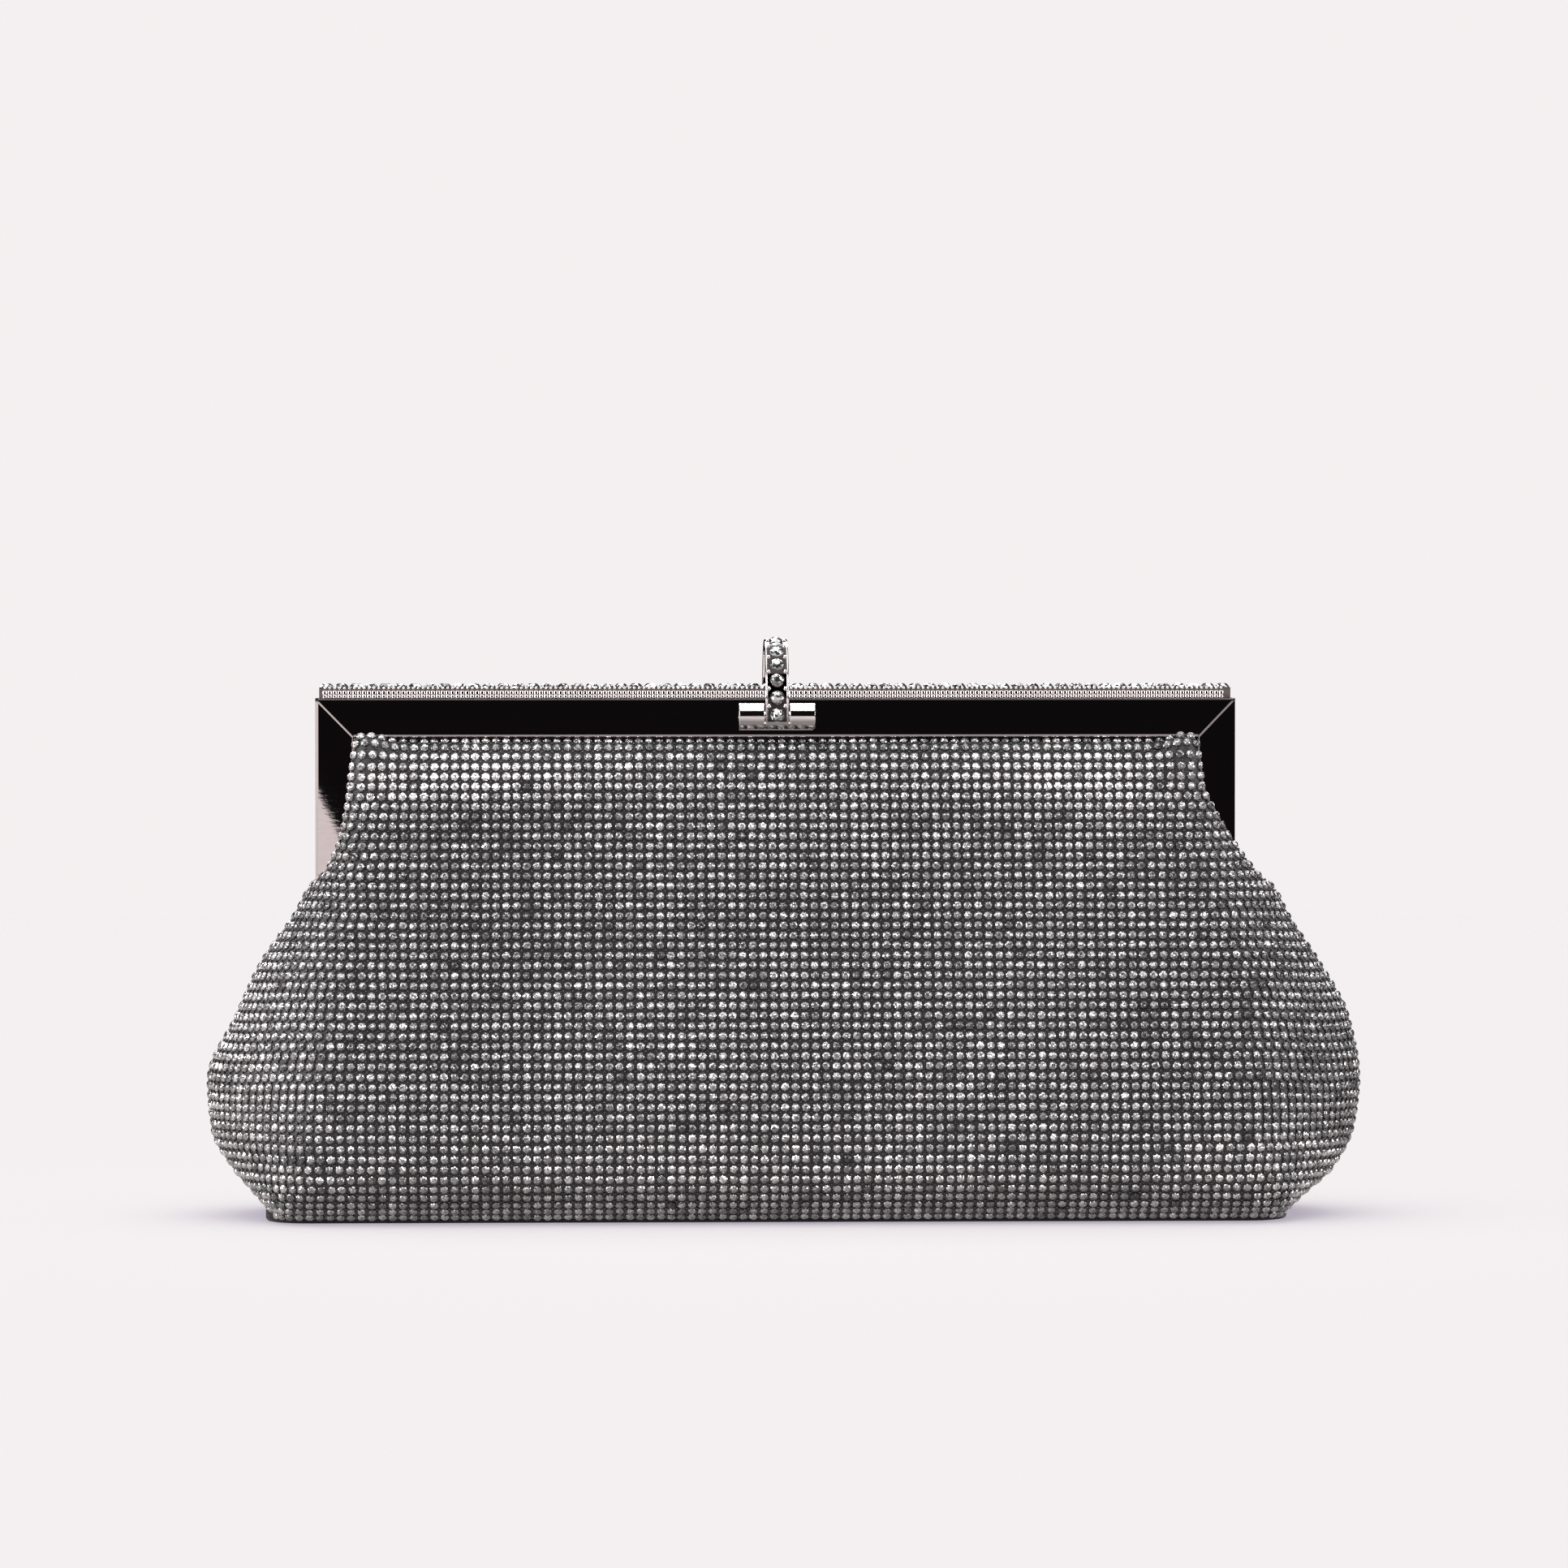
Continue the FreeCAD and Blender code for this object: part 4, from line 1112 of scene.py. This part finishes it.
def roundRib():
    # an upright half-round rib with rounded ends
    deselectAll()
    bpy.ops.mesh.primitive_cylinder_add(
        vertices=10, radius=trim["ribRadius"] * mm, depth=trim["ribLength"] * mm,
        end_fill_type="NGON",
    )
    rib = newPiece("rib")
    bevel = rib.modifiers.new("round", "BEVEL")
    bevel.width = trim["ribRound"] * mm
    bevel.segments = 2
    bevel.angle_limit = math.radians(60)
    bevel.limit_method = "ANGLE"
    applyModifiers(rib)
    return rib


def placeTrim(name, source, places, outward, material, body, maker=None):
    # copies at places in millimetres: stones have a tone each, metal is smooth
    places, outward = np.array(places, float) * mm, np.array(outward, float)
    count = len(places)
    tones = np.ones(count) if maker is None else maker.uniform(*trim["tones"], count)
    piece = copyOver(name, source, places, outward, np.zeros(count), tones)
    setMaterial(piece, material)
    if maker is None:
        makeActive(piece)
        bpy.ops.object.shade_smooth()
    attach(piece, body)
    bpy.data.objects.remove(source)
    return piece


def railTrim():
    top = railHigh.z / mm
    stones = trim["railFirst"] + trim["railPitch"] * np.arange(trim["railCount"])
    level = np.zeros(len(stones))
    piece = placeTrim(
        "rail_cut_stones", cutStonePiece("rail_stone", trim["railStone"]),
        np.stack([stones, level, level + top - trim["railSink"]], axis=1),
        np.tile([0, 0, 1.0], (len(stones), 1)), cutStone, "front_half",
        np.random.default_rng(5),
    )
    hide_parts("rail_stones")
    railHalf = railHigh.x / mm - trim["endSetback"]
    steps = np.arange(-railHalf, railHalf + 0.1, trim["ribStep"])
    ribDepth = railHigh.y / mm - trim["ribRadius"] + trim["ribOut"]
    beadDepth = railHigh.y / mm - trim["beadIn"]
    ribs, beads = (
        [(across, side * depth, top - drop) for side in (-1, 1) for across in steps]
        for depth, drop in ((ribDepth, trim["ribDrop"]), (beadDepth, trim["beadDrop"]))
    )
    upright = np.tile([0, 0, 1.0], (len(ribs), 1))
    placeTrim("rail_ribs", roundRib(), ribs, upright, beadPlating, "front_half")
    bead = roundBead("bead", trim["beadRadius"])
    placeTrim("rail_beads", bead, beads, upright, beadPlating, "front_half")


def hoopPlace(angle, out):
    # a place on the hoop in its own plane, the angle counted from the front over the top
    turn = math.radians(angle)
    forward, rise = -math.cos(turn), math.sin(turn)
    radius = trim["hoopOut"] + out
    return (radius * forward, trim["hoopHeight"] + radius * rise), (forward, rise)


def claspTrim():
    # stones along the hoop and down its front, with a pair of grains after each
    places, outward, grains, grainOut = [], [], [], []
    pair = (-trim["grainPlace"], trim["grainPlace"])
    for index in range(trim["claspCount"]):
        angle = trim["claspStep"] * index
        place, way = hoopPlace(angle, -trim["claspSink"])
        places.append((0, *place))
        outward.append((0, *way))
        place, way = hoopPlace(angle + trim["claspStep"] / 2, 0.0)
        grains += [(across, *place) for across in pair]
        grainOut += [(0, *way)] * 2
    low = trim["hoopHeight"] - trim["claspLow"]
    places.append((0, -trim["hoopOut"] + trim["claspSink"], low))
    outward.append((0, -1.0, 0))
    grains += [(across, -trim["hoopOut"], low + trim["lowGrainRise"]) for across in pair]
    grainOut += [(0, -1.0, 0)] * 2
    piece = placeTrim(
        "clasp_cut_stones", cutStonePiece("clasp_stone", trim["claspStone"]),
        places, outward, cutStone, "clasp", np.random.default_rng(9),
    )
    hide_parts("clasp_stones")
    bead = roundBead("grain", trim["grainRadius"])
    placeTrim("clasp_grains", bead, grains, grainOut, beadPlating, "clasp")
    rim = joinPieces([hoopRim(side * trim["rimPlace"]) for side in (-1, 1)], "clasp_rims")
    setMaterial(rim, brightPlating)
    bpy.ops.object.shade_smooth()
    finishPiece(rim)
    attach(rim, "clasp")


def hoopRim(across):
    # a half ring over the hoop, its front end drawn straight down to the knuckle
    deselectAll()
    bpy.ops.mesh.primitive_torus_add(
        major_radius=(trim["hoopOut"] - trim["rimIn"]) * mm,
        minor_radius=trim["rimRadius"] * mm,
        major_segments=72,
        minor_segments=8,
        location=(across * mm, 0, trim["hoopHeight"] * mm),
        rotation=(0, math.pi / 2, 0),
    )
    rim = newPiece("rim")
    finishPiece(rim)
    centre = Vector((0, 0, trim["hoopHeight"] * mm))
    bpy.ops.object.mode_set(mode="EDIT")
    bpy.ops.mesh.select_all(action="SELECT")
    bpy.ops.mesh.bisect(plane_co=centre, plane_no=(0, 0, 1), clear_inner=True)
    leaveEdit()
    selectEdges(rim, lambda *ends: all(
        abs(end.z - centre.z) < 1e-6 and end.y < 0 for end in ends
    ))
    drop = (trim["claspLow"] + trim["rimDrop"]) * mm
    bpy.ops.mesh.extrude_region_move(TRANSFORM_OT_translate={"value": (0, 0, -drop)})
    bpy.ops.mesh.edge_face_add()
    bpy.ops.mesh.select_all(action="SELECT")
    bpy.ops.mesh.normals_make_consistent(inside=False)
    leaveEdit()
    return rim


railTrim()
claspTrim()
# the frame's mirror face doesn't show the clasp
for name in ("clasp_knuckle_left", "clasp_knuckle_right", "clasp_arm", "clasp_rims",
             "clasp_cut_stones", "clasp_grains"):
    bpy.data.objects[name].visible_glossy = False
print("trim made")


# ---------- finishes of the parts that stay as built ----------

nodeFinishes = {
    framePlating: ("front_frame", "back_frame"),
    # the rail's body is coloured dark as painted shade under its ribs and beads
    grooveShadePlating: ("stone_rail",),
    brightPlating: (
        "clasp_knuckle_left", "clasp_knuckle_right", "clasp_pin", "catch_rivets",
        "hinge_rivet_left", "hinge_rivet_right",
    ),
    claspPlating: ("clasp_arm",),
    plating: ("clasp_catch", "hinge_washer_left", "hinge_washer_right"),
    cutStone: ("rail_stones", "clasp_stones"),
    paperCord: ("front_cord", "back_cord"),
    pressedBoard: ("base_board",),
}
for finish, names in nodeFinishes.items():
    for name in names:
        for place in bpy.data.objects[name].material_slots:
            place.material = finish


# ---------- floor, light and camera ----------

studio = {
    "background": (0.905, 0.871, 0.879),
    "shadowTint": (0.42, 0.375, 0.46),
    "floorColour": (0.600, 0.609, 0.520),
    "floorRadius": 1.75,
    "floorFadeStart": 1.25,
    "sunStrength": 2.45,
    "sunAngle": 80.0,
    "ambient": (0.006, 0.005, 0.006),
    "lowLight": (0.93, 0.87, 0.87),
    "underLight": 0.35,
    "underFade": (-0.75, -0.25),
    "sweepTurn": (0.38, 0.46),
    "sweepHeight": (0.012, -0.06),
    "cardEdge": -0.7653,
    "cardSlope": -1.95,
    "cardCorner": -0.0284,
    "cardTop": (0.30, 0.45),
    "cardEnd": (-2.0, -1.7),
    "bagMiddle": (0, 0, 0.06),
    # place, width, height, power and whether it lights only the cloth's stones
    "boxes": {
        "left_box": ((-0.95, -0.35, 0.45), 0.4, 0.6, 7, False),
        "right_box": ((0.95, -0.35, 0.45), 0.4, 0.6, 5, False),
        "rear_box": ((0.0, 0.9, 0.9), 1.2, 0.4, 12, False),
        "front_top_box": ((0.0, -0.75, 1.05), 1.3, 0.3, 11, True),
        "front_box": ((0.0, -1.2, 0.42), 1.5, 0.25, 3.5, True),
    },
    "lens": 170.0,
    "sensor": 36.0,
    "target": (0.002, 0.0, 0.0997),
    "distance": 1.715,
    "azimuth": -2.0,
    "elevation": 1.6,
}


def makeFloor():
    deselectAll()
    bpy.ops.mesh.primitive_circle_add(
        vertices=128, radius=studio["floorRadius"], fill_type="NGON", location=(0, 0, 0)
    )
    floor = newPiece("studio_floor")
    material, tree, surface = newMaterial(
        "studio_floor", Base_Color=(*studio["floorColour"], 1), Roughness=1.0,
        Specular_IOR_Level=0.0, Emission_Color=(*studio["shadowTint"], 1), Emission_Strength=1.0,
    )
    coords = objectCoords(tree)
    length = addNode(tree, "ShaderNodeVectorMath", {0: coords}, operation="LENGTH")
    fade = rangeNode(tree, length.outputs["Value"], studio["floorFadeStart"], studio["floorRadius"])
    mix = addNode(tree, "ShaderNodeMixShader", {
        0: fade, 1: tree.nodes["Principled BSDF"].outputs[0],
        2: addNode(tree, "ShaderNodeBsdfTransparent").outputs[0],
    })
    feed(tree, tree.nodes["Material Output"].inputs["Surface"], mix.outputs[0])
    setMaterial(floor, material)
    floor.visible_glossy = False
    floor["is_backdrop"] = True


def makeWorld():
    # Reflections see a white sweep below the horizon, a bright wall far to the left with a
    # slanting edge, and a dark room above. The camera sees the plain backdrop.
    world = bpy.data.worlds.new("studio")
    world.use_nodes = True
    scene.world = world
    tree = world.node_tree
    ambient = tree.nodes["Background"]
    x, y, up = splitPlace(tree, addNode(tree, "ShaderNodeTexCoord").outputs["Generated"])
    around = mathNode(tree, "ARCTAN2", x, mathNode(tree, "MULTIPLY", y, -1.0))
    turned = mathNode(tree, "ABSOLUTE", around)
    horizon = rangeNode(tree, turned, *studio["sweepTurn"], *studio["sweepHeight"])
    low = rangeNode(tree, mathNode(tree, "SUBTRACT", horizon, up), 0.0, 0.01)
    steep = rangeNode(tree, up, *studio["underFade"], studio["underLight"], 1.0)
    low = mathNode(tree, "MULTIPLY", low, steep)
    fromEdge = mathNode(tree, "SUBTRACT", around, studio["cardEdge"])
    fromEdge = mathNode(tree, "MULTIPLY", fromEdge, studio["cardSlope"])
    rise = mathNode(tree, "ADD", fromEdge, studio["cardCorner"])
    inside = rangeNode(tree, mathNode(tree, "SUBTRACT", rise, up), 0.0, 0.0015)
    belowTop = rangeNode(tree, up, *studio["cardTop"], 1.0, 0.0)
    card = mathNode(
        tree, "MULTIPLY", mathNode(tree, "MULTIPLY", inside, belowTop),
        rangeNode(tree, around, *studio["cardEnd"]),
    )
    bright = mathNode(tree, "MAXIMUM", low, card)
    feed(tree, ambient.inputs["Color"],
         mixColours(tree, bright, studio["ambient"], studio["lowLight"]))
    seen = addNode(tree, "ShaderNodeBackground", {"Color": (*studio["background"], 1)})
    mix = addNode(tree, "ShaderNodeMixShader", {
        0: addNode(tree, "ShaderNodeLightPath").outputs["Is Camera Ray"],
        1: ambient.outputs[0], 2: seen.outputs[0],
    })
    feed(tree, tree.nodes["World Output"].inputs["Surface"], mix.outputs[0])


def aimAt(thing, place, target):
    thing.location = place
    thing.rotation_euler = (Vector(target) - Vector(place)).to_track_quat("-Z", "Y").to_euler()


def softBox(name, place, width, height, power, lit):
    light = bpy.data.lights.new(name, "AREA")
    light.shape = "RECTANGLE"
    light.size, light.size_y = width, height
    light.energy = power
    lamp = bpy.data.objects.new(name, light)
    scene.collection.objects.link(lamp)
    lamp.visible_camera = False
    aimAt(lamp, place, studio["bagMiddle"])
    lamp.light_linking.receiver_collection = lit


makeFloor()
makeWorld()
bagOnly = bpy.data.collections.new("lit_by_boxes")
stonesOnly = bpy.data.collections.new("lit_by_top_box")
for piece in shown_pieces():
    bagOnly.objects.link(piece)
    if "_stones_" in piece.name:
        stonesOnly.objects.link(piece)
sun = bpy.data.lights.new("overhead", "SUN")
sun.energy = studio["sunStrength"]
sun.angle = math.radians(studio["sunAngle"])
overhead = bpy.data.objects.new("overhead", sun)
scene.collection.objects.link(overhead)
for name, (place, width, height, power, stonesAlone) in studio["boxes"].items():
    softBox(name, place, width, height, power, stonesOnly if stonesAlone else bagOnly)

cameraData = bpy.data.cameras.new("camera")
cameraData.lens = studio["lens"]
cameraData.sensor_width = studio["sensor"]
camera = bpy.data.objects.new("camera", cameraData)
scene.collection.objects.link(camera)
azimuth, elevation = math.radians(studio["azimuth"]), math.radians(studio["elevation"])
away = Vector((
    math.sin(azimuth) * math.cos(elevation),
    -math.cos(azimuth) * math.cos(elevation),
    math.sin(elevation),
))
target = Vector(studio["target"])
aimAt(camera, target + away * studio["distance"], target)
scene.camera = camera
scene.view_settings.view_transform = "Standard"
print("studio made")
